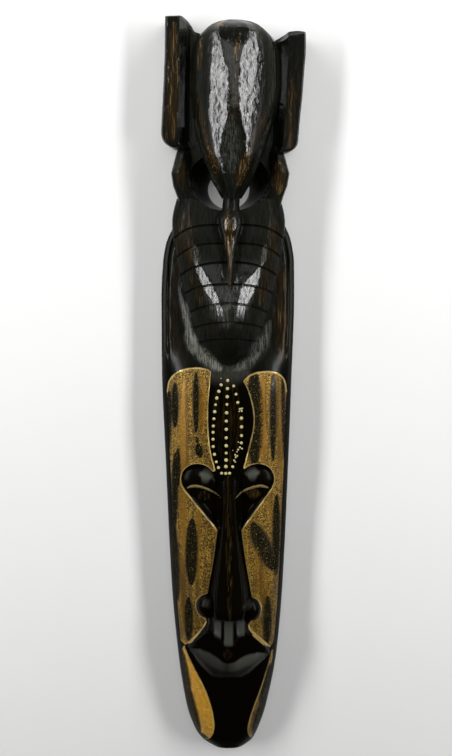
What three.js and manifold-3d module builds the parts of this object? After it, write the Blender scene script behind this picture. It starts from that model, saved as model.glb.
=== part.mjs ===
// A long carved wooden mask that lies on its back, face up. The chin points to -Y and the bird
// at the top points to +Y. Sizes are millimetres. While it is being shaped the mask is measured
// from its chin end: s runs along the length, x across it and z up from the flat back. The last
// step moves the finished solid so that its box stands centred on the origin.

import * as THREE from 'three';
import { mergeVertices } from 'three/addons/utils/BufferGeometryUtils.js';
import Module from 'manifold-3d';

const wasm = await Module();
wasm.setup();

// Shell: the outline on both sides of the face and the height of its arch, from the chin up.
const SHELL_LEFT = [[0, -25], [8, -37], [22, -47], [62, -60], [146, -72], [250, -80], [422, -86.2],
  [560, -90.5], [640, -90.3], [690, -87.6], [714, -83.5], [736, -74], [752, -60]];
const SHELL_RIGHT = [[0, 24], [8, 33.5], [22, 40.5], [62, 53], [146, 67.5], [250, 75.2], [422, 81],
  [560, 84.6], [640, 86.6], [690, 86], [714, 82.7], [740, 73], [752, 60]];
const SHELL_CROWN = [[0, 36], [20, 45], [60, 54], [130, 61], [240, 64], [340, 62], [440, 65],
  [520, 66], [560, 61], [620, 55], [700, 48], [752, 42]];
const SHELL_RIM = [[0, 22], [60, 26], [300, 30], [520, 34], [700, 32], [752, 28]];
const ARCH_POWER = 2.5;
const ARCH_ROUND = 0.72;
const RIM_STEP = 2.6;
const BACK_TUCK = 5;

// Trough hollowed in the back.
const TROUGH = { from: 90, to: 530, half: 50, depth: 27 };

// Painted panels: they stand a little above the wood beside them.
const PANEL_RISE = 2;
const PANEL_INSET = 5;
const PANEL_TOP = 553.5;
const PANEL_MID_X = -1.8;
const PANEL_LEFT_EDGE = [[-24.5, 549.5], [-27, 522], [-28.4, 495], [-27.6, 468], [-24.6, 441], [-18.7, 417]];
const PANEL_RIGHT_EDGE = [[19.3, 538], [27.2, 520], [32.6, 496], [32.4, 472], [26.8, 448], [20, 420]];
const LEAF_LEFT_EDGE = [[-62.4, 159], [-48, 129], [-31.5, 96], [-23.5, 66], [-21, 40], [-24, 18]];
const LEAF_RIGHT_EDGE = [[60, 151], [51, 119], [38, 79], [30.5, 53], [27, 35], [27, 18]];

// Eyes: a round hollow with a straight lower side that runs to the nose.
const EYE = {
  x: 39.2, s: 401.5, radius: 24.2, depth: 9, tipX: 16.5, tipS: 333, ball: [23.6, 25, 14.5], step: 3,
};
// Lid line under the upper lid, as [distance from the middle, s] from the outer corner inwards.
const LID = [[60, 389], [52, 392.5], [43, 393], [31, 388.5], [19, 381], [10, 376]];

// Nose: station, ridge half width, ridge height, side half width, side height.
const NOSE = [[414, 5.4, 63.5, 8.5, 52], [385, 5.4, 67, 10, 52], [345, 5.4, 71, 13, 54],
  [310, 6.2, 75, 18, 55], [270, 8.2, 80.5, 24.5, 56], [240, 10, 85, 28, 57], [222, 11.5, 87.5, 27, 60],
  [213, 12, 85, 23.5, 60]];
const NOSE_X = 0.6;
const NOSTRIL = { x: 30, s: 223, z: 58, radii: [15, 17.6, 17] };

// Mouth: corners, mouth line and lower lip.
const MOUTH = {
  half: 57, s: 165, dip: 17, dipHalf: 24, top: 214, topHalf: 28, lip: 131, height: 79, corner: 52,
};

// Hood: half width, ridge height, and the valley in its middle for the head and beak.
const HOOD_HALF = [[554.5, 5], [558, 13.5], [566, 24], [578, 33.8], [594, 42], [613, 48.6], [631, 54.3],
  [673, 63.4], [700, 68.5], [728, 73], [745, 73.6], [757, 72], [774, 67.5]];
const HOOD_RIDGE = [[554.5, 56], [558, 64], [566, 74], [578, 82], [594, 87], [640, 87.5], [690, 82],
  [740, 73], [774, 60]];
const HOOD_EDGE = [[554.5, 50], [578, 57], [620, 52], [700, 48], [745, 47], [774, 44]];
const HOOD_MID_X = -0.6;
const VALLEY = { from: 650, to: 774, depth: 30, half: 46 };
const RIBS = [[595.2, 7.5, 2], [617.3, 11, 2], [642, 16, 2], [665.8, 15, 2.8], [693.2, 19, 2.9],
  [717, 19, 3.6], [740.5, 19, 4]];
const RIB_DEPTH = 2.4;
const RIB_WIDTH = 1.7;

// Bird: body, wings, legs, neck, head and beak.
const BODY_HALF = [[774, 8.5], [782, 10.2], [797, 16.5], [813, 24.8], [828, 32.3], [844, 38.2], [877, 45.2],
  [914, 50.6], [950, 50], [965, 47.2], [977, 39.5], [985, 30], [989.5, 20], [991.5, 9]];
const BODY_MID_X = [[774, 3.4], [828, 4.3], [859, 4.8], [896, 8.2], [932, 9.2], [991.5, 8.5]];
const BODY_CROWN = [[774, 66], [790, 74], [813, 83], [844, 90], [900, 95], [950, 92], [977, 83], [991.5, 70]];
const BODY_ARRIS = [[774, 56], [800, 59], [860, 62], [950, 62], [991.5, 60]];
const BODY_UNDER = [[774, 44], [800, 38], [822, 25], [846, 0], [991.5, 0]];
const BODY_BEVEL = [[774, 1.5], [813, 6], [860, 6], [900, 7.5], [970, 6], [991.5, 1]];
const WING_LEFT = { outer: [[837, -70], [840, -77], [846, -84], [856, -87], [873, -86.4], [922, -83.4],
  [959, -81.7], [1000, -80.7]], inner: -34, bottom: [837, 836], top: [1000, 966], flat: 0.36 };
const WING_RIGHT = { outer: [[832.5, 75], [835.5, 82], [842, 87.6], [867, 90.2], [910, 94], [935, 95.6],
  [959, 97.1], [979.5, 96.6]], inner: 40, bottom: [832.5, 829], top: [979.5, 964], flat: 0.1 };
const WING_EDGE = 51;
const WING_GROOVE = 37;
const LEG_STATIONS = [[846, 67, 41, 40], [832, 69.5, 45, 47], [806, 76, 52.5, 58], [790, 73.6, 50.5, 57],
  [776, 68.5, 43, 56], [760, 64, 34, 56]];
const LEG_BACK = 6;
const LEG_MID_X = 1.4;
const BOWL = { x: -0.4, s: 786, half: [27.4, 25.4], flareX: 50, flareS: 34, flareMid: 801, height: 40 };
const NECK = [[806, 4.2, 15, 60, 15], [786, 3.7, 11.5, 58.5, 13], [770, 3.2, 10.8, 57, 12.5],
  [762, 2.2, 11, 57, 13], [755, 1.6, 14.6, 60, 16], [746, 1.6, 16, 61.5, 18.5], [736, 1.6, 14.6, 62, 18],
  [726, 1.6, 11.6, 63, 15], [716, 1.7, 9.2, 65, 13], [704, 1.8, 7, 67, 12], [686, 1.9, 4.7, 71, 11],
  [669, 1.5, 2.9, 75, 10], [659, 1.1, 1.1, 77, 8]];

const WOOD = new THREE.MeshStandardMaterial({ color: 0x14110d, roughness: 0.32, metalness: 0 });

// Smooth curve through a short table of [position, value] pairs, held level past its ends.
function curve(table) {
  const n = table.length;
  const slope = table.map((_, i) => {
    if (i === 0 || i === n - 1) return 0;
    const a = (table[i][1] - table[i - 1][1]) / (table[i][0] - table[i - 1][0]);
    const b = (table[i + 1][1] - table[i][1]) / (table[i + 1][0] - table[i][0]);
    return a * b <= 0 ? 0 : (2 * a * b) / (a + b);
  });
  const chord = (i) => (table[i + 1][1] - table[i][1]) / (table[i + 1][0] - table[i][0]);
  slope[0] = chord(0);
  slope[n - 1] = chord(n - 2);
  return (s) => {
    if (s <= table[0][0]) return table[0][1];
    if (s >= table[n - 1][0]) return table[n - 1][1];
    let i = 0;
    while (s > table[i + 1][0]) i += 1;
    const h = table[i + 1][0] - table[i][0];
    const t = (s - table[i][0]) / h;
    const t2 = t * t;
    const t3 = t2 * t;
    return (2 * t3 - 3 * t2 + 1) * table[i][1] + (t3 - 2 * t2 + t) * h * slope[i]
      + (3 * t2 - 2 * t3) * table[i + 1][1] + (t3 - t2) * h * slope[i + 1];
  };
}

const lerp = (a, b, t) => a + (b - a) * t;
const clamp01 = (t) => Math.min(1, Math.max(0, t));
const steps = (a, b, n) => Array.from({ length: n + 1 }, (_, i) => lerp(a, b, i / n));

// Solid from a closed three.js geometry.
function solid(geometry) {
  geometry.deleteAttribute('normal');
  geometry.deleteAttribute('uv');
  const merged = mergeVertices(geometry, 1e-4);
  const position = merged.attributes.position;
  const index = Array.from(merged.index.array);
  const tris = [];
  const at = (i) => new THREE.Vector3().fromBufferAttribute(position, i);
  let volume = 0;
  for (let k = 0; k < index.length; k += 3) {
    const [a, b, c] = [index[k], index[k + 1], index[k + 2]];
    if (a === b || b === c || a === c) continue;
    tris.push(a, b, c);
    volume += at(a).dot(at(b).cross(at(c)));
  }
  if (volume < 0) {
    for (let k = 0; k < tris.length; k += 3) [tris[k], tris[k + 1]] = [tris[k + 1], tris[k]];
  }
  return new wasm.Manifold(new wasm.Mesh({
    numProp: 3,
    vertProperties: new Float32Array(position.array),
    triVerts: new Uint32Array(tris),
  }));
}

// Solid skinned over a row of closed rings that all have the same number of points.
function loft(rings) {
  const around = rings[0].length;
  const along = rings.length - 1;
  const geometry = new THREE.CylinderGeometry(1, 1, 1, around, along);
  const position = geometry.attributes.position;
  for (let i = 0; i < position.count; i += 1) {
    const [x, y, z] = [position.getX(i), position.getY(i), position.getZ(i)];
    const ring = rings[Math.round((0.5 - y) * along)];
    if (Math.hypot(x, z) < 0.5) {
      const mid = [0, 1, 2].map((k) => ring.reduce((sum, p) => sum + p[k], 0) / around);
      position.setXYZ(i, ...mid);
    } else {
      const turn = Math.atan2(x, z) / (2 * Math.PI) + 1;
      position.setXYZ(i, ...ring[Math.round(turn * around) % around]);
    }
  }
  return solid(geometry);
}

// Slab whose front and back are given as functions of two shares from 0 to 1.
function slab(across, along, front, back) {
  const geometry = new THREE.BoxGeometry(1, 1, 1, across.length - 1, along.length - 1, 1);
  const position = geometry.attributes.position;
  for (let i = 0; i < position.count; i += 1) {
    const u = across[Math.round((position.getX(i) + 0.5) * (across.length - 1))];
    const v = along[Math.round((position.getY(i) + 0.5) * (along.length - 1))];
    position.setXYZ(i, ...(position.getZ(i) > 0 ? front(u, v) : back(u, v)));
  }
  return solid(geometry);
}

// Upright prism over an outline drawn in x and s.
function prism(shape, bottom, top, segments = 10) {
  const options = { depth: top - bottom, bevelEnabled: false, curveSegments: segments };
  const geometry = new THREE.ExtrudeGeometry(shape, options);
  geometry.translate(0, 0, bottom);
  return solid(geometry);
}

function ball(x, s, z, radii, wide = 14, high = 8) {
  const geometry = new THREE.SphereGeometry(1, wide, high);
  geometry.rotateX(Math.PI / 2);
  geometry.scale(...radii);
  geometry.translate(x, s, z);
  return solid(geometry);
}

const shellLeft = curve(SHELL_LEFT);
const shellRight = curve(SHELL_RIGHT);
const shellCrown = curve(SHELL_CROWN);
const shellRim = curve(SHELL_RIM);

// Height of the shell's arched front at a point.
function shellHeight(x, s) {
  const mid = (shellLeft(s) + shellRight(s)) / 2;
  const half = (shellRight(s) - shellLeft(s)) / 2;
  const t = Math.min(1, Math.abs(x - mid) / half);
  const rim = shellRim(s);
  return rim + (shellCrown(s) - rim) * (1 - t ** ARCH_POWER) ** ARCH_ROUND;
}

// Shell of the mask. A rise lifts its arched front only.
function shell(rise, stations, columns) {
  const shares = columns.flatMap((c) => (c === 0 ? [0] : [-c, c])).sort((a, b) => a - b);
  return loft(stations.map((s) => {
    const mid = (shellLeft(s) + shellRight(s)) / 2;
    const half = (shellRight(s) - shellLeft(s)) / 2;
    const rim = shellRim(s);
    const front = shares.map((t) => {
      const x = mid + t * half;
      const notch = rise === 0 && s > 560 && Math.abs(t) > 0.93 && Math.abs(t) < 0.95 ? RIM_STEP : 0;
      return [x, s, shellHeight(x, s) + rise - notch];
    });
    const left = [[mid - half + BACK_TUCK, s, 0], [mid - half + 1, s, 8], [mid - half, s, rim * 0.55]];
    const right = [[mid + half, s, rim * 0.55], [mid + half - 1, s, 8], [mid + half - BACK_TUCK, s, 0]];
    return [...left, ...front, ...right];
  }));
}

const SHELL_STATIONS = [0, 5, 13, 27, 50, 85, 130, 180, 240, 300, 360, 420, 480, 530, 575,
  620, 655, 685, 706, 722, 736, 752];
const SHELL_COLUMNS = [0, 0.22, 0.44, 0.64, 0.8, 0.9, 0.94, 0.97, 1];

// Trough in the back: long, shallow and round-ended.
function trough() {
  const middle = (TROUGH.from + TROUGH.to) / 2;
  const reach = (TROUGH.to - TROUGH.from) / 2;
  return loft(steps(-1, 1, 14).map((share) => {
    const across = Math.max(0.06, (1 - Math.abs(share) ** 2.6) ** 0.5);
    const bulge = TROUGH.half * across;
    const deep = TROUGH.depth * across ** 0.7;
    const arc = steps(0, Math.PI, 10).map((a) => [
      PANEL_MID_X - Math.cos(a) * bulge, middle + share * reach, Math.sin(a) ** 0.75 * deep]);
    return [[PANEL_MID_X - bulge, middle + share * reach, -4], ...arc,
      [PANEL_MID_X + bulge, middle + share * reach, -4]];
  }));
}

// Outline of one painted panel from its top down to the mouth corner.
function panelShape(side) {
  const edge = side < 0 ? PANEL_LEFT_EDGE : PANEL_RIGHT_EDGE;
  const outer = side < 0 ? shellLeft : shellRight;
  const rim = (s) => outer(s) - side * PANEL_INSET;
  const eyeX = PANEL_MID_X + side * EYE.x;
  const shape = new THREE.Shape();
  shape.moveTo(...edge[0]);
  shape.splineThru(edge.slice(1).map((p) => new THREE.Vector2(...p)));
  const from = Math.atan2(edge[5][1] - EYE.s, edge[5][0] - eyeX);
  const low = side < 0 ? (218 * Math.PI) / 180 : (-38 * Math.PI) / 180;
  for (const a of steps(from, low, 11)) {
    shape.lineTo(eyeX + Math.cos(a) * EYE.radius, EYE.s + Math.sin(a) * EYE.radius);
  }
  shape.lineTo(NOSE_X + side * EYE.tipX, EYE.tipS);
  shape.splineThru([
    new THREE.Vector2(NOSE_X + side * 23, 286),
    new THREE.Vector2(NOSE_X + side * 31, 240),
  ]);
  shape.lineTo(NOSE_X + side * 34, 205);
  shape.lineTo(side * 45, 182);
  shape.lineTo(side * 60, 163);
  for (const s of steps(168, 520, 8)) shape.lineTo(rim(s), s);
  shape.splineThru([
    new THREE.Vector2(rim(540) - side * 7, 541),
    new THREE.Vector2(side * 52, PANEL_TOP - 2),
  ]);
  if (side < 0) shape.lineTo(-38, PANEL_TOP + 1);
  else shape.lineTo(31, 547);
  shape.closePath();
  return shape;
}

// Outline of one painted leaf on the chin.
function leafShape(side) {
  const edge = side < 0 ? LEAF_LEFT_EDGE : LEAF_RIGHT_EDGE;
  const outer = side < 0 ? shellLeft : shellRight;
  const shape = new THREE.Shape();
  shape.moveTo(...edge[0]);
  shape.splineThru(edge.slice(1).map((p) => new THREE.Vector2(...p)));
  for (const s of steps(15, 150, 7)) shape.lineTo(outer(s) - side * (PANEL_INSET - 1), s);
  shape.closePath();
  return shape;
}

// Hollow round one eye, down to the nose.
function eyeShape(side) {
  const eyeX = PANEL_MID_X + side * EYE.x;
  const shape = new THREE.Shape();
  shape.moveTo(NOSE_X + side * EYE.tipX, EYE.tipS);
  for (const a of steps(-38, 140, 14)) {
    const turn = (a * Math.PI) / 180;
    shape.lineTo(eyeX + side * Math.cos(turn) * EYE.radius, EYE.s + Math.sin(turn) * EYE.radius);
  }
  shape.lineTo(NOSE_X + side * 10.5, 404);
  shape.lineTo(NOSE_X + side * 8, 388);
  shape.lineTo(NOSE_X + side * 9, EYE.tipS + 4);
  shape.closePath();
  return shape;
}

// Part of the eye below the lid line.
function belowLid(side) {
  const shape = new THREE.Shape();
  LID.forEach(([x, s], k) => shape[k === 0 ? 'moveTo' : 'lineTo'](PANEL_MID_X + side * x, s));
  shape.lineTo(PANEL_MID_X + side * 10, 350);
  shape.lineTo(PANEL_MID_X + side * 72, 350);
  shape.lineTo(PANEL_MID_X + side * 72, 386);
  shape.closePath();
  return shape;
}

// Long wedge of the nose with a flat ridge.
function nose() {
  return loft(NOSE.map(([s, ridge, top, base, low]) => {
    const flank = base * 0.62 + ridge * 0.3;
    const half = [[ridge * 0.5, top], [ridge, top - 1.2], [flank, lerp(low, top, 0.55)], [base, low], [base, 36]];
    const left = half.map(([x, z]) => [NOSE_X - x, s, z]).reverse();
    return [...left, ...half.map(([x, z]) => [NOSE_X + x, s, z])];
  }));
}

const mouthLine = (x) => MOUTH.s - MOUTH.dip * Math.exp(-((x / MOUTH.dipHalf) ** 2) * 1.6)
  - 4 * (Math.abs(x) / MOUTH.half) ** 4;
const mouthTop = (x) => Math.min(MOUTH.top, lerp(MOUTH.top - 8, MOUTH.s - 2,
  clamp01((Math.abs(x) - MOUTH.topHalf) / (MOUTH.half + 2 - MOUTH.topHalf))));
const lipRise = (x) => lerp(MOUTH.height, MOUTH.corner, Math.min(1, Math.abs(x) / MOUTH.half) ** 2.2);

// Upper lip with three soft ridges under the nose.
function upperLip() {
  const spread = (u) => (u * 2 - 1) * (MOUTH.half + 1);
  return slab(steps(0, 1, 20), [0, 0.14, 0.5, 1], (u, v) => {
    const x = spread(u);
    const s = lerp(mouthLine(x), mouthTop(x), v);
    const ridge = Math.abs(x) < 24 ? Math.cos((x / 16) * Math.PI * 2) * 1.6 * Math.min(1, v * 2.2) : 0;
    const roll = v === 0 ? -2.5 : 0;
    const fall = lerp(lipRise(x), Math.min(lipRise(x), shellHeight(x, s) + 5), v);
    return [x, s, fall + ridge + roll];
  }, (u, v) => [spread(u), lerp(mouthLine(spread(u)), mouthTop(spread(u)), v), 38]);
}

// Lower lip: a full crescent that falls to the chin.
function lowerLip() {
  const spread = (u) => (u * 2 - 1) * (MOUTH.half - 4);
  const low = (x) => lerp(MOUTH.lip, mouthLine(x) - 2, (Math.abs(x) / (MOUTH.half - 3)) ** 2.5);
  return slab(steps(0, 1, 16), [0, 0.2, 0.5, 0.85, 1], (u, v) => {
    const x = spread(u);
    const s = lerp(low(x), mouthLine(x) - 0.6, v);
    const round = (v * (2 - v)) ** 0.8;
    const rise = lerp(shellHeight(x, s) - 3, lipRise(x) - 1, round) - (v === 1 ? 3.5 : 0);
    return [x, s, rise];
  }, (u, v) => [spread(u), lerp(low(spread(u)), mouthLine(spread(u)) - 0.6, v), 38]);
}

const hoodHalf = curve(HOOD_HALF);
const hoodRidge = curve(HOOD_RIDGE);
const hoodEdge = curve(HOOD_EDGE);

// Front of the hood, with the valley the beak lies in.
function hoodHeight(t, s) {
  const a = Math.abs(t);
  const arch = (1 - a ** 2.7) ** 0.62;
  const share = clamp01((s - VALLEY.from) / (VALLEY.to - VALLEY.from));
  const half = VALLEY.half * Math.min(1, share * 1.35);
  const x = t * hoodHalf(s);
  const sink = half > 1 ? VALLEY.depth * share ** 0.55 * Math.max(0, 1 - Math.abs(x - 1.6) / half) : 0;
  return lerp(hoodEdge(s), hoodRidge(s), arch) - sink;
}

// Ribbed hood. Each rib groove is a bowed row of its own.
function hood() {
  const rows = [[554.5, 0, 2, 0], [557, 0, 2, 0], [562, 0, 2, 0], [570, 0, 2, 0], [580, 1.5, 2, 0]];
  RIBS.forEach(([s, bow, power], k) => {
    rows.push([s - RIB_WIDTH, bow, power, 0], [s, bow, power, RIB_DEPTH], [s + RIB_WIDTH, bow, power, 0.4]);
    if (k < RIBS.length - 1) rows.push([(s + RIBS[k + 1][0]) / 2, (bow + RIBS[k + 1][1]) / 2, power, -0.7]);
  });
  rows.push([751, 12, 4, -0.7], [762, 5, 4, 0], [774, 0, 4, 0]);
  const shares = [-1, -0.985, -0.9, -0.76, -0.6, -0.44, -0.28, -0.14, 0.02, 0.16, 0.3, 0.46, 0.62, 0.78, 0.9,
    0.985, 1];
  return loft(rows.map(([mid, bow, power, sink]) => {
    const half = hoodHalf(mid - bow);
    const front = shares.map((t) => {
      const s = mid - bow * Math.abs(t) ** power;
      const side = Math.abs(t) === 1 ? -4 : 0;
      return [HOOD_MID_X + t * half, s, hoodHeight(t, s) - sink + side];
    });
    const s = mid - bow;
    const foot = Math.max(3, half - 7);
    return [[HOOD_MID_X - foot, s, 0], ...front, [HOOD_MID_X + foot, s, 0]];
  }));
}

const bodyHalf = curve(BODY_HALF);
const bodyMid = curve(BODY_MID_X);
const bodyCrown = curve(BODY_CROWN);
const bodyArris = curve(BODY_ARRIS);
const bodyUnder = curve(BODY_UNDER);
const bodyBevel = curve(BODY_BEVEL);

// Teardrop body of the bird: a dome on a bevelled edge.
function body() {
  const stations = [774, 782, 790, 800, 812, 824, 836, 848, 865, 885, 905, 925, 945, 958, 968, 976, 982, 987,
    990, 991.5];
  const shares = [-0.94, -0.8, -0.6, -0.4, -0.2, 0, 0.2, 0.4, 0.6, 0.8, 0.94];
  return loft(stations.map((s) => {
    const [half, mid, arris, under] = [bodyHalf(s), bodyMid(s), bodyArris(s), bodyUnder(s)];
    const dome = shares.map((t) => [mid + t * half, s, arris + (bodyCrown(s) - arris) * (1 - t * t) ** 0.72]);
    const out = half + bodyBevel(s);
    const low = Math.max(under + 2, arris - 20);
    return [[mid - out * 0.75, s, under], [mid - out, s, low], [mid - half, s, arris - 1.5], ...dome,
      [mid + half, s, arris - 1.5], [mid + out, s, low], [mid + out * 0.75, s, under]];
  }));
}

// One wing: a slab whose front falls into the groove beside the body.
function wing({ outer, inner, bottom, top, flat }) {
  const edge = curve(outer);
  const [low, high] = [outer[0][0], outer[outer.length - 1][0]];
  const across = [0, 0.05, 0.2, flat < 0.2 ? 0.35 : flat, 0.55, 0.75, 1];
  const face = (u) => (u === 0 ? WING_EDGE - 3.5 : lerp(WING_EDGE, WING_GROOVE, clamp01((u - 0.3) / 0.5)));
  const place = (u, v, lift) => {
    const start = lerp(bottom[0], bottom[1], u);
    const end = u < flat ? top[0] : lerp(top[0], top[1], (u - flat) / (1 - flat));
    const s = lerp(start, end, v);
    const x = lerp(edge(lerp(low, high, v)), inner, u);
    return [x, v === 1 ? s - (lift ? 2.5 : 0) : s, lift ? face(u) - (v === 1 ? 3 : 0) : 0];
  };
  const along = [0, 0.02, 0.05, 0.1, 0.2, 0.4, 0.6, 0.8, 0.98, 1];
  return slab(across, along, (u, v) => place(u, v, true), (u, v) => {
    const p = place(u, v, false);
    return [lerp(p[0], (p[0] + inner) / 2, 0.06), p[1], 0];
  });
}

// One faceted leg between wing and hood.
function leg(side) {
  return loft(LEG_STATIONS.map(([s, outer, inner, top]) => [[outer - 2, LEG_BACK], [outer, LEG_BACK + 8],
    [outer, top - 16], [outer - 5, top - 3], [lerp(outer, inner, 0.5), top], [inner + 3, top - 7],
    [inner, top - 18], [inner - 2, LEG_BACK]].map(([x, z]) => [LEG_MID_X + side * x, s, z])));
}

// Bowl between the legs with a hole right through it.
function bowl() {
  const shape = new THREE.Shape();
  shape.moveTo(-58, 756);
  shape.lineTo(58, 756);
  shape.lineTo(60, 800);
  shape.lineTo(56, 846);
  shape.lineTo(-54, 846);
  shape.lineTo(-58, 800);
  shape.closePath();
  return prism(shape, 0, BOWL.height);
}

function bowlHole() {
  const levels = [[-2, 0], [4, 0], [14, 0.22], [28, 0.6], [40, 0.9], [64, 1.05]];
  return loft(levels.map(([z, share]) => steps(0, 2 * Math.PI, 24).slice(0, -1).map((a) => [
    BOWL.x + Math.cos(a) * lerp(BOWL.half[0], BOWL.flareX, share),
    lerp(BOWL.s, BOWL.flareMid, share) + Math.sin(a) * lerp(BOWL.half[1], BOWL.flareS, share), z])));
}

// Neck, head and beak in one run, from the body down on to the hood.
function neck() {
  return loft(NECK.map(([s, x, half, z, high]) => steps(0, 2 * Math.PI, 12).slice(0, -1).map((a) => [
    x + Math.cos(a) * half, s, z + Math.sin(a) * high])));
}

const flat = shell(0, SHELL_STATIONS, SHELL_COLUMNS);
const raised = shell(PANEL_RISE, SHELL_STATIONS, SHELL_COLUMNS);
const sunk = shell(-EYE.depth, [300, 330, 360, 390, 420, 440, 460], SHELL_COLUMNS);

let face = flat;
for (const side of [-1, 1]) {
  face = face.subtract(prism(eyeShape(side), 20, 90).subtract(sunk));
  face = face.add(prism(panelShape(side), 22, 90).intersect(raised));
  face = face.add(prism(leafShape(side), 18, 90).intersect(raised));
  const height = shellHeight(PANEL_MID_X + side * EYE.x, EYE.s) - EYE.ball[2] + 0.5;
  const eyeX = PANEL_MID_X + side * (EYE.x - 1);
  const lid = ball(eyeX, EYE.s - 3, height, EYE.ball, 20, 10);
  const eye = ball(eyeX, EYE.s - 3, height - EYE.step, EYE.ball, 20, 10);
  const below = prism(belowLid(side), 30, 90);
  face = face.add(lid.subtract(below)).add(eye);
}
face = face.add(nose());
for (const side of [-1, 1]) {
  face = face.add(ball(side * NOSTRIL.x, NOSTRIL.s - side * 2.4, NOSTRIL.z, NOSTRIL.radii));
}
face = face.add(upperLip()).add(lowerLip());

let mask = face.add(hood());
mask = mask.add(bowl()).subtract(bowlHole());
mask = mask.add(wing(WING_LEFT)).add(wing(WING_RIGHT)).add(leg(-1)).add(leg(1));
mask = mask.add(body()).add(neck());
mask = mask.subtract(trough());

// Mesh of the finished solid, centred on the origin with its back on the ground.
function finish(manifold, name, material) {
  const mesh = manifold.getMesh();
  const geometry = new THREE.BufferGeometry();
  geometry.setAttribute('position', new THREE.BufferAttribute(new Float32Array(mesh.vertProperties), 3));
  geometry.setIndex(new THREE.BufferAttribute(new Uint32Array(mesh.triVerts), 1));
  geometry.computeBoundingBox();
  const box = geometry.boundingBox;
  geometry.translate(-(box.min.x + box.max.x) / 2, -(box.min.y + box.max.y) / 2, -box.min.z);
  const part = new THREE.Mesh(geometry, material);
  part.name = name;
  return part;
}

const group = new THREE.Group();
group.add(finish(mask, 'carved_mask', WOOD));

export default group;
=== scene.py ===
"""A long carved wooden mask with painted panels, lying on its back on a pale floor.

The mask is carved as a person would carve it: a shell for the face, a ribbed hood and a bird
are shaped one by one, joined into one solid and then dressed with chisel marks and paint.
Shapes are worked out in millimetres, with s along the mask from its chin end, x across it and
z up from its flat back, and they are moved into the frame of the CAD part at the end.
"""

import logging
import math
from dataclasses import dataclass
from enum import Enum
from typing import Optional, Sequence, Union

import bpy
import numpy as np
from mathutils import Matrix, Vector


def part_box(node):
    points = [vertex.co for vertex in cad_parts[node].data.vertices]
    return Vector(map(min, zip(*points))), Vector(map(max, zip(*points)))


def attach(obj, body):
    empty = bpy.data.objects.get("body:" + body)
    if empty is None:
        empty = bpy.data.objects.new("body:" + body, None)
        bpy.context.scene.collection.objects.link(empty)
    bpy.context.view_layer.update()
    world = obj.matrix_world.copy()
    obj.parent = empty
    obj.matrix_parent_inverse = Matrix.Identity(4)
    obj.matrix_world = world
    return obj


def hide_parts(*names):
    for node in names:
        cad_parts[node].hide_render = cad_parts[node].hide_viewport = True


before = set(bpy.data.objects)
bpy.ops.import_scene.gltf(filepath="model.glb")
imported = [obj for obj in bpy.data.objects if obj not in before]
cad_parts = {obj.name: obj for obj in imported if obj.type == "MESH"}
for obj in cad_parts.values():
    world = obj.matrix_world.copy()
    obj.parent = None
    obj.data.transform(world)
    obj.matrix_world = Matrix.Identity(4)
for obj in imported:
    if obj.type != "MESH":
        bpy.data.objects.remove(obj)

LOG = logging.getLogger("carved_mask")

# Where the middle of the CAD box lies, in millimetres across and along the mask.
MID_SHIFT = 3.471
HALF_LENGTH = 500.0

# Height inside the shell that the nose and the lips are built up from.
INNER_FLOOR = 36.0

NODE = "carved_mask"
SLOT = "painted_wood"

Array = np.ndarray
Socket = bpy.types.NodeSocket
Table = tuple[tuple[float, float], ...]
Spot = tuple[float, float, float]
Colour = tuple[float, float, float, float]


class Cut(Enum):
    """Ways in which one solid works on another."""

    JOIN = "UNION"
    CARVE = "DIFFERENCE"
    KEEP = "INTERSECT"


class Side(Enum):
    """The two sides of the mask as the camera sees it."""

    LEFT = -1
    RIGHT = 1

    def pick(self, left: Table, right: Table) -> Table:
        """Gives the left or the right one of two tables."""
        return left if self is Side.LEFT else right


@dataclass(frozen=True)
class Track:
    """Smooth curve through a short table of positions and values, held level past its ends."""

    table: Table

    def __call__(self, s: Array) -> Array:
        """Reads the curve.

        Args:
            s: Positions along the curve.

        Returns:
            The value at each position.
        """
        at = np.array([p[0] for p in self.table], float)
        value = np.array([p[1] for p in self.table], float)
        step = np.diff(at)
        chord = np.diff(value) / step
        slope = np.zeros(len(at))
        product = chord[:-1] * chord[1:]
        total = np.where(np.abs(chord[:-1] + chord[1:]) < 1e-9, 1.0, chord[:-1] + chord[1:])
        slope[1:-1] = np.where(product > 0, 2 * product / total, 0.0)
        slope[0], slope[-1] = chord[0], chord[-1]
        s = np.clip(np.asarray(s, float), at[0], at[-1])
        i = np.clip(np.searchsorted(at, s, side="right") - 1, 0, len(step) - 1)
        t = (s - at[i]) / step[i]
        rise = (3 - 2 * t) * t * t
        bend = t * (1 - t) * step[i] * (slope[i] * (1 - t) - slope[i + 1] * t)
        return value[i] + (value[i + 1] - value[i]) * rise + bend


def lerp(a: Array, b: Array, t: Array) -> Array:
    """Mixes two values by a share from 0 to 1."""
    return a + (b - a) * t


def smooth(low: float, high: float, value: Array) -> Array:
    """Climbs softly from 0 at low to 1 at high."""
    t = np.clip((np.asarray(value, float) - low) / (high - low), 0.0, 1.0)
    return t * t * (3 - 2 * t)


def between(low: float, full: float, fade: float, end: float, value: Array) -> Array:
    """Climbs from 0 at low to 1 at full, and falls from 1 at fade to 0 at end."""
    return smooth(low, full, value) * (1 - smooth(fade, end, value))


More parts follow.
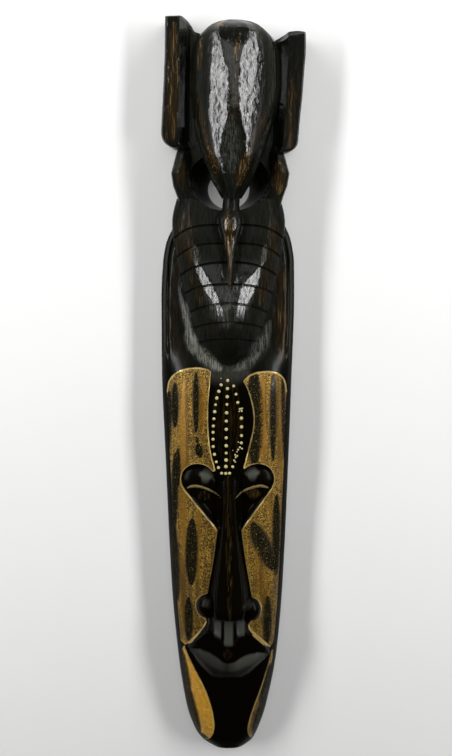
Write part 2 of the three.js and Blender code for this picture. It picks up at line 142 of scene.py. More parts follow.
def through(points: Sequence[tuple[float, float]], per_span: int = 8) -> Array:
    """Draws a smooth line through a few points.

    Args:
        points: Points in x and s.
        per_span: Points made for each span between two of them.

    Returns:
        The points of the line, both ends included.
    """
    given = np.array(points, float)
    padded = np.vstack([2 * given[0] - given[1], given, 2 * given[-1] - given[-2]])
    t = np.linspace(0, 1, per_span, endpoint=False)[:, None]
    out = []
    for k in range(len(given) - 1):
        a, b, c, d = padded[k:k + 4]
        out.append(0.5 * (2 * b + (c - a) * t + (2 * a - 5 * b + 4 * c - d) * t ** 2
                          + (3 * b - a - 3 * c + d) * t ** 3))
    return np.vstack(out + [given[-1:]])


def line_distance(points: Array, line: Array) -> Array:
    """Measures how far points lie from a line of straight spans.

    Args:
        points: Points in x and s, one a row.
        line: The line's points in order.

    Returns:
        One distance for each point.
    """
    best = np.full(len(points), 1e9)
    for a, b in zip(line[:-1], line[1:]):
        span = b - a
        length = max(float(span @ span), 1e-9)
        t = np.clip(((points - a) @ span) / length, 0, 1)
        best = np.minimum(best, np.hypot(*(points - a - t[:, None] * span).T))
    return best


def inside_distance(points: Array, outline: Array) -> Array:
    """Measures how deep points lie inside a closed outline.

    Args:
        points: Points in x and s, one a row.
        outline: The outline's points in order, not closed.

    Returns:
        Distance to the outline, above zero inside it and below zero outside.
    """
    closed = np.vstack([outline, outline[:1]])
    inside = np.zeros(len(points), bool)
    for (ax, ay), (bx, by) in zip(closed[:-1], closed[1:]):
        if ay == by:
            continue
        crosses = (ay > points[:, 1]) != (by > points[:, 1])
        inside ^= crosses & (points[:, 0] < ax + (points[:, 1] - ay) * (bx - ax) / (by - ay))
    return np.where(inside, 1.0, -1.0) * line_distance(points, closed)


@dataclass
class Solid:
    """Closed mesh in millimetres: points and faces that look outwards."""

    points: Array
    faces: list[tuple[int, ...]]

    @staticmethod
    def _outward(points: Array, faces: list[tuple[int, ...]]) -> "Solid":
        """Turns all faces round if the mesh is inside out.

        Args:
            points: The mesh's points.
            faces: Its faces.

        Returns:
            The solid, with faces that look outwards.
        """
        volume = 0.0
        for face in faces:
            a = points[face[0]]
            for k in range(1, len(face) - 1):
                volume += float(np.dot(a, np.cross(points[face[k]], points[face[k + 1]])))
        return Solid(points, [f[::-1] for f in faces] if volume < 0 else faces)

    @classmethod
    def skin(cls, rings: Array) -> "Solid":
        """Skins a row of closed rings with the same number of points.

        Args:
            rings: Array of rows, points and coordinates.

        Returns:
            The closed solid.
        """
        rows, around = rings.shape[:2]
        grid = np.arange(rows * around).reshape(rows, around)
        after = np.roll(grid, -1, axis=1)
        quads = np.stack([grid[:-1], after[:-1], after[1:], grid[1:]], axis=-1).reshape(-1, 4)
        faces = [tuple(q) for q in quads.tolist()]
        faces += [tuple(grid[0][::-1].tolist()), tuple(grid[-1].tolist())]
        return cls._outward(rings.reshape(-1, 3), faces)

    @classmethod
    def slab(cls, front: Array, back: Array) -> "Solid":
        """Closes two grids of the same size into a slab.

        Args:
            front: Grid of front points.
            back: Grid of back points.

        Returns:
            The closed solid.
        """
        rows, across = front.shape[:2]
        top = np.arange(rows * across).reshape(rows, across)
        low = top + rows * across
        quads = [np.stack([top[:-1, :-1], top[:-1, 1:], top[1:, 1:], top[1:, :-1]], -1),
                 np.stack([low[:-1, :-1], low[1:, :-1], low[1:, 1:], low[:-1, 1:]], -1)]
        quads = [quad.reshape(-1, 4) for quad in quads]
        for a, b, flip in ((top[0], low[0], False), (top[-1], low[-1], True),
                           (top[:, 0], low[:, 0], True), (top[:, -1], low[:, -1], False)):
            wall = np.stack([a[1:], a[:-1], b[:-1], b[1:]], -1)
            quads.append(wall[:, ::-1] if flip else wall)
        faces = [tuple(q) for q in np.vstack(quads).tolist()]
        return cls._outward(np.vstack([front.reshape(-1, 3), back.reshape(-1, 3)]), faces)

    @classmethod
    def prism(cls, outline: Array, low: float, high: float) -> "Solid":
        """Raises an outline in x and s into an upright prism from one height to another."""
        rings = [np.column_stack([outline, np.full(len(outline), z)]) for z in (low, high)]
        return cls.skin(np.stack(rings))

    @classmethod
    def ball(cls, centre: Sequence[float], radii: Sequence[float], fine: int = 40,
             turn: float = 0.0) -> "Solid":
        """Makes a stretched ball.

        Args:
            centre: Its middle.
            radii: Its radii along x, s and z.
            fine: Points round it.
            turn: Degrees it is turned by, seen from the front.

        Returns:
            The closed solid.
        """
        pole = 0.04
        around = np.linspace(0, 2 * np.pi, fine, endpoint=False)
        lift = np.linspace(-np.pi / 2 + pole, np.pi / 2 - pole, fine // 2)[:, None]
        ring = np.stack([np.cos(lift) * np.cos(around), np.cos(lift) * np.sin(around),
                         np.sin(lift) + 0 * around], -1)
        x, s, z = np.moveaxis(ring * np.array(radii), -1, 0)
        c, n = math.cos(math.radians(turn)), math.sin(math.radians(turn))
        return cls.skin(np.stack([x * c - s * n, x * n + s * c, z], -1) + np.array(centre))

    @classmethod
    def many(cls, solids: Sequence["Solid"]) -> "Solid":
        """Gathers solids that stand apart into one mesh.

        Args:
            solids: The solids.

        Returns:
            One solid with all of them.
        """
        points, faces, offset = [], [], 0
        for solid in solids:
            points.append(solid.points)
            faces += [tuple(i + offset for i in face) for face in solid.faces]
            offset += len(solid.points)
        return cls(np.vstack(points), faces)

    def to_object(self, name: str) -> bpy.types.Object:
        """Makes a Blender object of the solid, still in millimetres.

        Args:
            name: The object's name.

        Returns:
            The object, linked to the scene.
        """
        mesh = bpy.data.meshes.new(name)
        mesh.from_pydata(self.points.tolist(), [], self.faces)
        mesh.validate()
        item = bpy.data.objects.new(name, mesh)
        bpy.context.scene.collection.objects.link(item)
        return item


class Bench:
    """Joins and cuts solids, and clears away what they were made from."""

    @staticmethod
    def work(base: bpy.types.Object, steps: Sequence[tuple[Cut, bpy.types.Object]]) -> bpy.types.Object:
        """Works a row of tools on a base, one after the other.

        Args:
            base: The object to work on.
            steps: Pairs of a way of working and the object that is the tool.

        Returns:
            The base, with a new mesh. The tools are removed.
        """
        for k, (way, tool) in enumerate(steps):
            modifier = base.modifiers.new(f"step_{k}", "BOOLEAN")
            modifier.operation = way.value
            modifier.solver = "MANIFOLD"
            modifier.object = tool
        graph = bpy.context.evaluated_depsgraph_get()
        graph.update()
        mesh = bpy.data.meshes.new_from_object(base.evaluated_get(graph))
        base.modifiers.clear()
        old = base.data
        base.data = mesh
        bpy.data.meshes.remove(old)
        for _, tool in steps:
            data = tool.data
            bpy.data.objects.remove(tool)
            bpy.data.meshes.remove(data)
        return base


@dataclass(frozen=True)
class Shell:
    """The long arched shell that carries the face.

    Tables give a value at stations along the mask, from the chin up. Above the face the flanks
    are level, with a bead and a groove along the edge, and climb to the foot of the hood.
    """

    left: Table = ((0, -25), (8, -37), (22, -47), (62, -60), (146, -72), (250, -80), (422, -86.2),
                   (560, -90.1), (640, -89.9), (690, -87.4), (714, -83.5), (736, -74), (752, -60))
    right: Table = ((0, 24), (8, 33.5), (22, 40.5), (62, 53), (146, 67.5), (250, 75.2), (422, 81),
                    (560, 84.6), (640, 86.6), (690, 86), (714, 82.7), (740, 73), (752, 60))
    crown: Table = ((0, 36), (20, 45), (60, 54), (130, 61), (240, 64), (340, 62), (440, 65),
                    (520, 66), (560, 61), (620, 55), (700, 48), (752, 42))
    rim: Table = ((0, 22), (60, 26), (300, 30), (520, 34), (700, 32), (752, 28))
    arch_power: float = 2.5
    arch_round: float = 0.72
    bead: float = 1.5
    groove: float = 2.0
    level: float = 7.0
    fall: float = 16.0
    reach: float = 10.0
    lift: Table = ((556, 3.2), (622, 3.0), (680, 0.8), (752, 0.6))
    far_lift: float = 0.35
    bead_share: float = 0.935
    groove_share: float = 0.893
    line_share: float = 0.015
    flank_band: tuple[float, ...] = (550, 600, 722, 752)
    bead_band: tuple[float, ...] = (556, 590, 716, 742)
    foot: Table = ((5.0, 0.0), (1.6, 5.0))
    wall: Table = ((0.3, 0.3), (0.0, 0.62), (0.0, 0.86))

    def edge(self, side: Side, s: Array) -> Array:
        """Gives the outline on one side."""
        return Track(side.pick(self.left, self.right))(s)

    def share(self, x: Array, s: Array) -> Array:
        """Gives how far out points lie, from 0 in the middle to 1 at the outline."""
        low, high = self.edge(Side.LEFT, s), self.edge(Side.RIGHT, s)
        return np.minimum(1.0, np.abs(x - (low + high) / 2) / ((high - low) / 2))

    def height(self, x: Array, s: Array) -> Array:
        """Gives the height of the smooth arch.

        Args:
            x: Places across the mask.
            s: Places along it.

        Returns:
            Heights above the back.
        """
        t = self.share(x, s)
        rim = Track(self.rim)(s)
        return rim + (Track(self.crown)(s) - rim) * (1 - t ** self.arch_power) ** self.arch_round

    def flank(self, grid: Array, hood_line: Array) -> Array:
        """Levels the flanks beside the hood and slopes them up to it.

        Args:
            grid: Grid of front points.
            hood_line: The hood's outline in x and s.

        Returns:
            The new heights of the grid.
        """
        x, s, z = grid[..., 0], grid[..., 1], grid[..., 2]
        t = self.share(x, s)
        away = line_distance(grid[..., :2].reshape(-1, 2), hood_line).reshape(x.shape)
        lift = Track(self.lift)(s) * np.where(x > 0, self.far_lift, 1)
        slope = lift * (1 - smooth(-0.35 * self.reach, 1.15 * self.reach, away))
        level = self.level * (1 - smooth(0.9, 1.0, t))
        field_z = Track(self.rim)(s) + level + self.fall * (1 - t) + slope
        z = lerp(z, field_z, between(*self.flank_band, s))
        bead = self.bead * np.exp(-((t - self.bead_share) / self.line_share) ** 2)
        groove = self.groove * np.exp(-((t - self.groove_share) / self.line_share) ** 2)
        return z + between(*self.bead_band, s) * (bead - groove)

    def solid(self, stations: Array, shares: Array, rise: float = 0.0,
              eyes: Optional["EyePair"] = None, hood_line: Optional[Array] = None) -> Solid:
        """Skins the shell.

        Args:
            stations: Rows along the mask.
            shares: Columns, from -1 at the left edge to 1 at the right edge.
            rise: How much the front is lifted.
            eyes: The eyes whose hollows are sunk into the front.
            hood_line: The hood's outline, for the flanks beside it.

        Returns:
            The closed solid.
        """
        s = stations[:, None]
        low, high = self.edge(Side.LEFT, s), self.edge(Side.RIGHT, s)
        mid, half = (low + high) / 2, (high - low) / 2
        x = mid + shares * half
        z = self.height(x, s) + rise
        grid = np.stack([x, s + 0 * x, z], -1)
        if hood_line is not None:
            grid[..., 2] = self.flank(grid, hood_line)
        if eyes is not None:
            flat = grid.reshape(-1, 3)
            near = np.abs(flat[:, 1] - eyes.middle_s) < eyes.span
            for side in Side:
                deep = inside_distance(flat[near, :2], eyes.hollow(side))
                flat[near, 2] -= eyes.depth * smooth(-0.4, eyes.slope, deep)
            grid = flat.reshape(grid.shape)
        rim = Track(self.rim)(s)
        wall = [(inset, z + 0 * rim) for inset, z in self.foot]
        wall += [(inset, rim * share) for inset, share in self.wall]
        left = np.stack([np.concatenate([mid - half + inset, s, z], 1) for inset, z in wall], 1)
        right = np.stack([np.concatenate([mid + half - inset, s, z], 1) for inset, z in wall[::-1]], 1)
        return Solid.skin(np.concatenate([left, grid, right], axis=1))


@dataclass(frozen=True)
class EyePair:
    """Two round hollows with half-closed eyes in them.

    Balls are given by their radii, and each is set at a station along the mask.
    """

    middle_x: float = -1.8
    off_x: float = 39.2
    middle_s: float = 401.5
    radius: float = 24.2
    depth: float = 9.0
    slope: float = 9.0
    span: float = 80.0
    tip: tuple[float, float] = (16.5, 333.0)
    inner_edge: Table = ((10.5, 404), (8, 388), (8, 360), (9, 337))
    arc_ends: tuple[float, float] = (-38.0, 140.0)
    nose_x: float = 0.6
    lid_ball: Spot = (28.5, 23.5, 13.5)
    lid_s: float = 398.5
    eye_ball: Spot = (26.5, 30.0, 13.0)
    eye_s: float = 391.5
    lower_ball: Spot = (28.5, 32.0, 13.0)
    lower_s: float = 387.5
    lower_drop: float = 13.6
    lid_x: float = 36.5
    lean: float = 14.0
    step: float = 2.4
    block: Table = ((6, 336), (76, 336), (76, 386))
    block_heights: tuple[float, float] = (30.0, 90.0)
    lid: Table = ((62, 384), (54, 390.5), (46, 393.5), (39, 393.3), (31, 391), (24, 387.5), (17, 383),
                  (9.5, 378), (6, 375.5))
    line_half: Table = ((6, -3), (9, 0.4), (14, 1.2), (26, 2.0), (46, 2.4), (53, 1.7), (55.5, 0),
                        (62, -6))
    lower_lid: Table = ((61, 386), (55, 378), (47.5, 369.5), (38, 364), (29, 362.5), (19, 364.5),
                        (10, 369))

    def centre(self, side: Side) -> tuple[float, float]:
        """Gives the middle of one hollow in x and s."""
        return self.middle_x + side.value * self.off_x, self.middle_s

    def arc(self, side: Side, start: float, end: float, count: int = 48) -> Array:
        """Draws part of the hollow's round edge.

        Args:
            side: Which eye.
            start: First angle in degrees, seen as for the right eye.
            end: Last angle.
            count: Number of points.

        Returns:
            Points in x and s.
        """
        turn = np.radians(np.linspace(start, end, count))
        x, s = self.centre(side)
        across = side.value * np.cos(turn) * self.radius
        return np.column_stack([x + across, s + np.sin(turn) * self.radius])

    def hollow(self, side: Side) -> Array:
        """Draws the outline of one hollow, down to the nose.

        Args:
            side: Which eye.

        Returns:
            Points in x and s.
        """
        low = [(self.nose_x + side.value * self.tip[0], self.tip[1])]
        bridge = [(self.nose_x + side.value * x, s) for x, s in self.inner_edge]
        return np.vstack([low, self.arc(side, *self.arc_ends), bridge])

    def lid_line(self, side: Side, lower: bool = False) -> Array:
        """Draws the edge of a lid, from the outer corner inwards."""
        table = self.lower_lid if lower else self.lid
        return through([(self.middle_x + side.value * x, s) for x, s in table], 6)

    def line_depth(self, side: Side, points: Array) -> Array:
        """Gives how far points lie outside the painted line on the edge of an upper lid.

        Args:
            side: Which eye.
            points: Points in x and s.

        Returns:
            Distances from the line's edge, below 0 on the line.
        """
        line = self.lid_line(side)
        half = Track(self.line_half)(np.abs(line[:, 0] - self.middle_x))
        away = points[:, None] - line[None]
        return np.min(np.hypot(away[..., 0], away[..., 1]) - half, axis=1)

    def below(self, side: Side, lower: bool = False) -> Solid:
        """Makes the block below the line of the upper or the lower lid."""
        away = [(self.middle_x + side.value * x, s) for x, s in self.block]
        return Solid.prism(np.vstack([self.lid_line(side, lower), away]), *self.block_heights)

    def lids(self, side: Side, top: float) -> list[bpy.types.Object]:
        """Makes the upper lid, the eye under it and the lower lid.

        Args:
            side: Which eye.
            top: Height of the upper lid's crest.

        Returns:
            The three objects.
        """
        x = self.middle_x + side.value * self.lid_x
        lean = side.value * self.lean
        centre = (x, self.lid_s, top - self.lid_ball[2])
        upper = Solid.ball(centre, self.lid_ball, 96, lean).to_object("upper_lid")
        upper = Bench.work(upper, [(Cut.CARVE, self.below(side).to_object("below"))])
        centre = (x, self.eye_s, top - self.step - self.eye_ball[2])
        eye = Solid.ball(centre, self.eye_ball, 88, lean).to_object("eye")
        centre = (x, self.lower_s, top - self.step - self.lower_drop)
        under = Solid.ball(centre, self.lower_ball, 88, lean).to_object("lower_lid")
        under = Bench.work(under, [(Cut.KEEP, self.below(side, True).to_object("below"))])
        return [upper, eye, under]


@dataclass(frozen=True)
class Dots:
    """Rows of raised paint dots on the forehead.

    Each row is a line across the mask, as stations and places, and the stations of its dots. The
    extra dots stand apart, as place across, station and radius.
    """

    rows: tuple[tuple[Table, tuple[float, ...]], ...] = (
        (((413, -4.4), (440, -3.8), (475, -3.7), (517, -2.4), (539, -1.7)),
         (538.6, 528, 517.2, 506.7, 495.6, 484.4, 473.2, 461.6, 450.8, 440.8, 431.2, 422.3)),
        (((413, -9.8), (421, -14.2), (439, -19.4), (455, -21.2), (473, -21.0), (497, -19), (515, -16.2),
          (533, -10.4)),
         (532.9, 524.3, 515.4, 506.4, 497, 487.4, 477.6, 469, 459.6, 449.6, 438.9, 428.6, 420.7)),
        (((413, 1), (422, 4.9), (430, 7.4), (437, 9.4), (447, 12.2), (455, 16.4), (477, 16.6),
          (499, 15.4), (509, 11.6), (520, 9.3), (531, 6)),
         (531.4, 520.5, 509.4, 488.2, 476.4, 464.6, 454.6, 422)))
    radius: float = 2.25
    uneven: float = 0.09
    height: float = 0.95
    sunk: float = 0.3
    seed: int = 31
    extra: tuple[Spot, ...] = (
        (-9.8, 413, 2.1), (-4.4, 412.6, 2.2), (0.8, 413, 2.1), (14.4, 500.8, 1.5), (17.2, 501.4, 1.3),
        (13.6, 497.6, 1.2), (16.6, 497.9, 1.5), (14.4, 448.6, 1.5), (17.2, 446.8, 1.3),
        (12.1, 445.6, 1.4), (10.6, 442.6, 1.1), (8.2, 438.4, 1.3), (10.9, 436.9, 1.3), (8.9, 434.8, 1.3),
        (6.7, 430.8, 1.4), (8.3, 428.6, 1.2), (5.2, 444.5, 0.8), (12.2, 455.8, 0.9), (-10.6, 541.5, 0.8))

    def places(self) -> Array:
        """Lists every dot.

        Returns:
            Rows of x, s and radius.
        """
        rng = np.random.default_rng(self.seed)
        found = []
        for line, stations in self.rows:
            s = np.array(stations)
            size = self.radius * (1 + self.uneven * rng.standard_normal(len(s)))
            found.append(np.column_stack([Track(line)(s), s, size]))
        return np.vstack(found + [np.array(self.extra)])

    def solid(self, shell: Shell) -> Solid:
        """Makes all dots as low domes on the shell.

        Args:
            shell: The shell they sit on.

        Returns:
            The domes, apart from each other.
        """
        domes = []
        for x, s, size in self.places():
            z = float(shell.height(np.array(x), np.array(s)))
            tall = (self.height + self.sunk) * size / self.radius
            domes.append(Solid.ball((x, s, z - self.sunk), (size, size, tall), 16))
        return Solid.many(domes)


@dataclass(frozen=True)
class Panels:
    """The painted panels beside the face and the two painted leaves on the chin.

    Outlines are points in x and s, from the top down.
    """

    shell: Shell = Shell()
    eyes: EyePair = EyePair()
    rise: float = 2.0
    inset: float = 6.8
    panel_span: tuple[float, float] = (166.0, 520.0)
    panel_heights: tuple[float, float] = (22.0, 90.0)
    leaf_span: tuple[float, float] = (15.0, 152.0)
    leaf_heights: tuple[float, float] = (18.0, 90.0)
    nose_line: Table = ((19.4, 309), (23.2, 284), (27, 262), (29.5, 246))
    soft_cheek: int = 8
    left_edge: Table = ((-24.2, 549.4), (-26.6, 524), (-28.4, 497), (-27.8, 470), (-24.8, 442),
                        (-18.7, 417))
    right_edge: Table = ((19.3, 538), (26.6, 522), (32.2, 499), (32.8, 476), (26.8, 448), (20, 420))
    left_top: Table = ((-82.6, 520), (-79.6, 535), (-71.9, 545), (-62.4, 550.3), (-51.7, 553.5),
                       (-38.5, 554.2), (-28, 552.4))
    right_top: Table = ((77.4, 520), (74.3, 534), (69, 542.4), (62.2, 546.5), (54, 549), (43.8, 549),
                        (34.5, 547.6), (26.5, 544.6))
    left_cheek: Table = (
        (-29.5, 243.6), (-36.5, 241.5), (-42, 236.5), (-45.2, 229.5), (-45.2, 222), (-43, 215.5),
        (-39, 210.8), (-32, 206.3), (-31.6, 203.3), (-34.3, 197.5), (-39.8, 188.7), (-50.9, 174.1),
        (-60.7, 162.4))
    right_cheek: Table = (
        (31.5, 238.5), (36.5, 236.4), (40.8, 232.6), (43.8, 227), (44.4, 220), (42.6, 213),
        (38.4, 207.6), (31, 202.4), (27.6, 199), (27.6, 194.8), (40.2, 179.9), (52.7, 165.3),
        (58.2, 158.7))
    left_leaf: Table = ((-62.4, 158.7), (-54.2, 141), (-43.1, 120), (-32, 96), (-25.1, 73.6), (-22, 56),
                        (-20.9, 42), (-22.5, 29), (-27, 19.5), (-33, 15.3))
    right_leaf: Table = ((60.1, 151.3), (53.3, 126), (45, 97.7), (36, 72), (29.8, 51), (27.1, 36),
                         (28, 25), (31.5, 16))

    def rim_line(self, side: Side, low: float, high: float, inset: float) -> Array:
        """Draws a line at a distance inside the shell's outline, from one station to another."""
        s = np.linspace(low, high, 40)
        return np.column_stack([self.shell.edge(side, s) - side.value * inset, s])

    def bright_edge(self, side: Side) -> Array:
        """Draws the part of a panel's outline that carries a bright line, from its top down.

        Args:
            side: Which side.

        Returns:
            Points in x and s.
        """
        turn = side.value
        top = side.pick(self.left_top, self.right_top)
        edge = side.pick(self.left_edge, self.right_edge)
        cheek = side.pick(self.left_cheek, self.right_cheek)
        x, s = self.eyes.centre(side)
        start = math.degrees(math.atan2(edge[-1][1] - s, (edge[-1][0] - x) * turn))
        nose = [(self.eyes.nose_x + turn * a, b) for a, b in (self.eyes.tip, *self.nose_line)]
        return np.vstack([through(top), through(edge), self.eyes.arc(side, start, self.eyes.arc_ends[0]),
                          through(nose, 5), through(cheek[:self.soft_cheek], 4),
                          np.array(cheek[self.soft_cheek:])])

    def outline(self, side: Side) -> Array:
        """Draws the whole outline of one panel."""
        return np.vstack([self.bright_edge(side), self.rim_line(side, *self.panel_span, self.inset)])

    def leaf_edge(self, side: Side) -> Array:
        """Draws the inner edge of one leaf on the chin."""
        return through(side.pick(self.left_leaf, self.right_leaf))

    def leaf(self, side: Side) -> Array:
        """Draws the whole outline of one leaf."""
        return np.vstack([self.leaf_edge(side), self.rim_line(side, *self.leaf_span, self.inset - 1)])

    def solids(self, side: Side) -> list[Solid]:
        """Makes the prisms that the raised panel and leaf are cut from."""
        return [Solid.prism(self.outline(side), *self.panel_heights),
                Solid.prism(self.leaf(side), *self.leaf_heights)]


@dataclass(frozen=True)
class Nose:
    """Long wedge with a flat ridge and two round nostrils."""

    x: float = 0.6
    ridge: Table = ((213, 12), (222, 11.5), (240, 10), (270, 8.2), (310, 6.2), (345, 5.6), (385, 6.2),
                    (402, 9), (418, 12))
    top: Table = ((213, 84), (216, 86.6), (222, 87.5), (240, 85), (270, 80.5), (310, 75), (345, 71),
                  (385, 67), (402, 65), (418, 62.4))
    base: Table = ((213, 23.5), (222, 27), (240, 28), (270, 24.5), (310, 18), (345, 13), (385, 10.5),
                   (402, 11.5), (418, 14))
    low: Table = ((213, 60), (240, 57), (310, 55), (345, 54), (385, 52), (414, 52))
    corners: tuple[float, ...] = (0, 0.17, 0.4, 0.66, 0.86, 1.0)
    nostril: Spot = (30.0, 223.0, 58.0)
    nostril_skew: float = 2.4
    radii: Spot = (15.0, 17.6, 17.0)

    def wedge(self) -> Solid:
        """Skins the wedge from its flat foot up to the bridge.

        Returns:
            The closed solid, with its edges eased once.
        """
        s = np.concatenate([np.linspace(213, 218, 5), np.linspace(220, 418, 82)])
        ridge, top, base, low = (Track(t)(s) for t in (self.ridge, self.top, self.base, self.low))
        flank = base * 0.62 + ridge * 0.3
        corner_x = np.stack([0 * s, ridge * 0.6, flank * 0.97, base * 0.93, base, base], 1)
        corner_z = np.stack([top + 0.3, top, top - 0.17 * flank, lerp(low, top, 0.35), low,
                             0 * s + INNER_FLOOR], 1)
        fine = np.linspace(0, 1, 30)
        half_x = np.stack([np.interp(fine, self.corners, row) for row in corner_x])
        half_z = np.stack([np.interp(fine, self.corners, row) for row in corner_z])
        for half in (half_x, half_z):
            half[:, 1:-6] = (half[:, :-7] + 2 * half[:, 1:-6] + half[:, 2:-5]) / 4
        x = np.concatenate([self.x - half_x[:, ::-1], self.x + half_x[:, 1:]], 1)
        z = np.concatenate([half_z[:, ::-1], half_z[:, 1:]], 1)
        return Solid.skin(np.stack([x, s[:, None] + 0 * x, z], -1))

    def nostrils(self) -> list[Solid]:
        """Makes the two round nostrils, the left one first."""
        x, s, z = self.nostril
        return [Solid.ball((k * x, s - k * self.nostril_skew, z), self.radii, 44) for k in (-1, 1)]


@dataclass(frozen=True)
class Mouth:
    """Wide lips that meet in a bow, with a ridged groove up to the nose.

    The tables give stations along the mask for places across it. Each ridge of the groove is
    given by its two sides and its foot.
    """

    shell: Shell = Shell()
    half: float = 57.0
    meet: Table = (
        (-58.2, 159.6), (-50.9, 163.9), (-39.7, 166.7), (-28.7, 165), (-20.4, 160.1), (-13.6, 155),
        (-8.1, 149.9), (-1.3, 147.7), (5.6, 149.1), (15.2, 155.7), (23.4, 160.1), (31.7, 161.9),
        (42.8, 160.9), (51.3, 155.6), (57.2, 149.3))
    crest: Table = (
        (-58.2, 161.8), (-53.7, 169.7), (-42.3, 180.1), (-28.5, 192.9), (-20.3, 192), (-14.9, 186.4),
        (-10.8, 181.4), (-6.7, 175.6), (-0.6, 174.1), (5.5, 175.6), (10.9, 182.8), (15, 187.8),
        (23.2, 190.4), (31.4, 188.3), (39.7, 180.9), (51.1, 164.2), (57.2, 152.2))
    top: Table = (
        (-60.7, 162.4), (-56.5, 166.8), (-50.9, 174.1), (-45.4, 181.4), (-39.8, 188.7), (-34.3, 197.5),
        (-30.5, 206), (-26, 212.5), (0, 214), (23, 212.5), (26.5, 200), (40.2, 180.6), (52.7, 166),
        (58.2, 159.4))
    bottom: Table = (
        (-55.4, 153.9), (-49.8, 147.5), (-44.3, 137.5), (-36, 127.9), (-29, 121), (-22.1, 116.2),
        (-12.3, 115.2), (-1.2, 116.1), (12.7, 115.2), (26.6, 119.7), (37.7, 129), (48.8, 139.9),
        (54.4, 148.1))
    height: float = 79.0
    corner: float = 52.0
    fall: float = 4.2
    sink: float = 8.5
    ridge_gap: float = 8.2
    ridges: tuple[Spot, ...] = ((-20.5, -10.5, 187), (-6.8, 5.6, 174), (10.2, 21.5, 189))
    roll: float = 0.4

    def rise(self, x: Array) -> Array:
        """Gives the height of the lips' crests."""
        return lerp(self.height, self.corner, np.minimum(1.0, np.abs(x) / self.half) ** self.fall)

    def upper(self) -> Solid:
        """Makes the upper lip and the ridged groove above it.

        Returns:
            The closed solid.
        """
        x = np.linspace(-self.half, self.half, 150)[:, None]
        w = np.concatenate([np.linspace(0, 0.5, 15), np.linspace(0.53, 1, 22)])[None, :]
        meet, top = Track(self.meet)(x), np.maximum(Track(self.top)(x), Track(self.meet)(x) + 1.2)
        crest = np.clip(Track(self.crest)(x), meet + 0.5, top - 0.4)
        low, high = np.minimum(1, w * 2), np.maximum(0, w * 2 - 1)
        s = np.where(w <= 0.5, lerp(meet, crest, low), lerp(crest, top, high))
        peak, foot = self.rise(x), np.minimum(self.rise(x), self.shell.height(x, top) + 3)
        depth = self.sink * (1 - np.minimum(1, np.abs(x) / self.half) ** 3)
        out = np.abs(x)
        gap = np.exp(-((out - self.ridge_gap) / 1.5) ** 2) * 2.6 + smooth(20.5, 23, out) * 2.4
        gap = gap * smooth(0, 0.12, high) * (1 - smooth(0.8, 1, high) * 0.4) * smooth(34, 26, out)
        z = np.where(w <= 0.5, peak - depth * (1 - low) ** 0.75, lerp(peak, foot, high ** 0.85) - gap)
        front = np.stack([x + 0 * s, s, z], -1)
        return Solid.slab(front, np.stack([x + 0 * s, s, 0 * s + INNER_FLOOR], -1))

    def painted_sheen(self, points: Array) -> Array:
        """Gives the painted highlight on the lower lip and on the ridges of the groove.

        Args:
            points: Points in x and s.

        Returns:
            One share for each point.
        """
        x, s = points.T
        meet, bottom = Track(self.meet)(x), Track(self.bottom)(x)
        down = (meet - s) / np.maximum(2, meet - bottom)
        # Painted highlight along the top of the lower lip and on the ridges, stronger on the right side.
        lip = between(0.02, 0.1, 0.12, 0.8, down) * (1 - smooth(46, 55, np.abs(x)))
        lip = lip * (0.55 + 0.45 * smooth(2, 14, np.abs(x))) * np.where(x > 0, 0.25, 0.14)
        for low, high, foot in self.ridges:
            inside = between(low - 0.6, low + 1.6, high - 1.6, high + 0.6, x)
            lip = np.maximum(lip, 0.25 * inside * between(foot - 3, foot + 5, 203, 211, s))
        return lip

    def lower(self) -> Solid:
        """Makes the full lower lip.

        Returns:
            The closed solid.
        """
        x = np.linspace(-54.5, 54.5, 110)[:, None]
        v = np.concatenate([np.linspace(0, 0.08, 5), np.linspace(0.12, 1, 30)])[None, :]
        meet = Track(self.meet)(x) - 0.3
        s = lerp(meet, np.minimum(Track(self.bottom)(x), meet - 2), v)
        base = self.shell.height(x, s) - 1.5
        lobes = 1.2 * np.exp(-((np.abs(x) - 26) / 14) ** 2) - 1.6 * np.exp(-(x / 8) ** 2)
        share = np.minimum(1, np.abs(x) / self.half)
        start = self.rise(x) - self.sink * (1 - share ** 3) + 1.6 * (1 - share)
        peak = self.rise(x) - 1.2 - 3.4 * (1 - share ** 2) + lobes
        climb = np.minimum(1, v / self.roll)
        roll = np.clip((v - self.roll) / (1 - self.roll), 0, 1)
        z = np.where(v < self.roll, lerp(start, peak, climb * (1.6 - 0.6 * climb)),
                     lerp(base, peak, 1 - 0.6 * roll - 0.4 * roll ** 2))
        front = np.stack([x + 0 * s, s, z], -1)
        return Solid.slab(front, np.stack([x + 0 * s, s, 0 * s + INNER_FLOOR], -1))


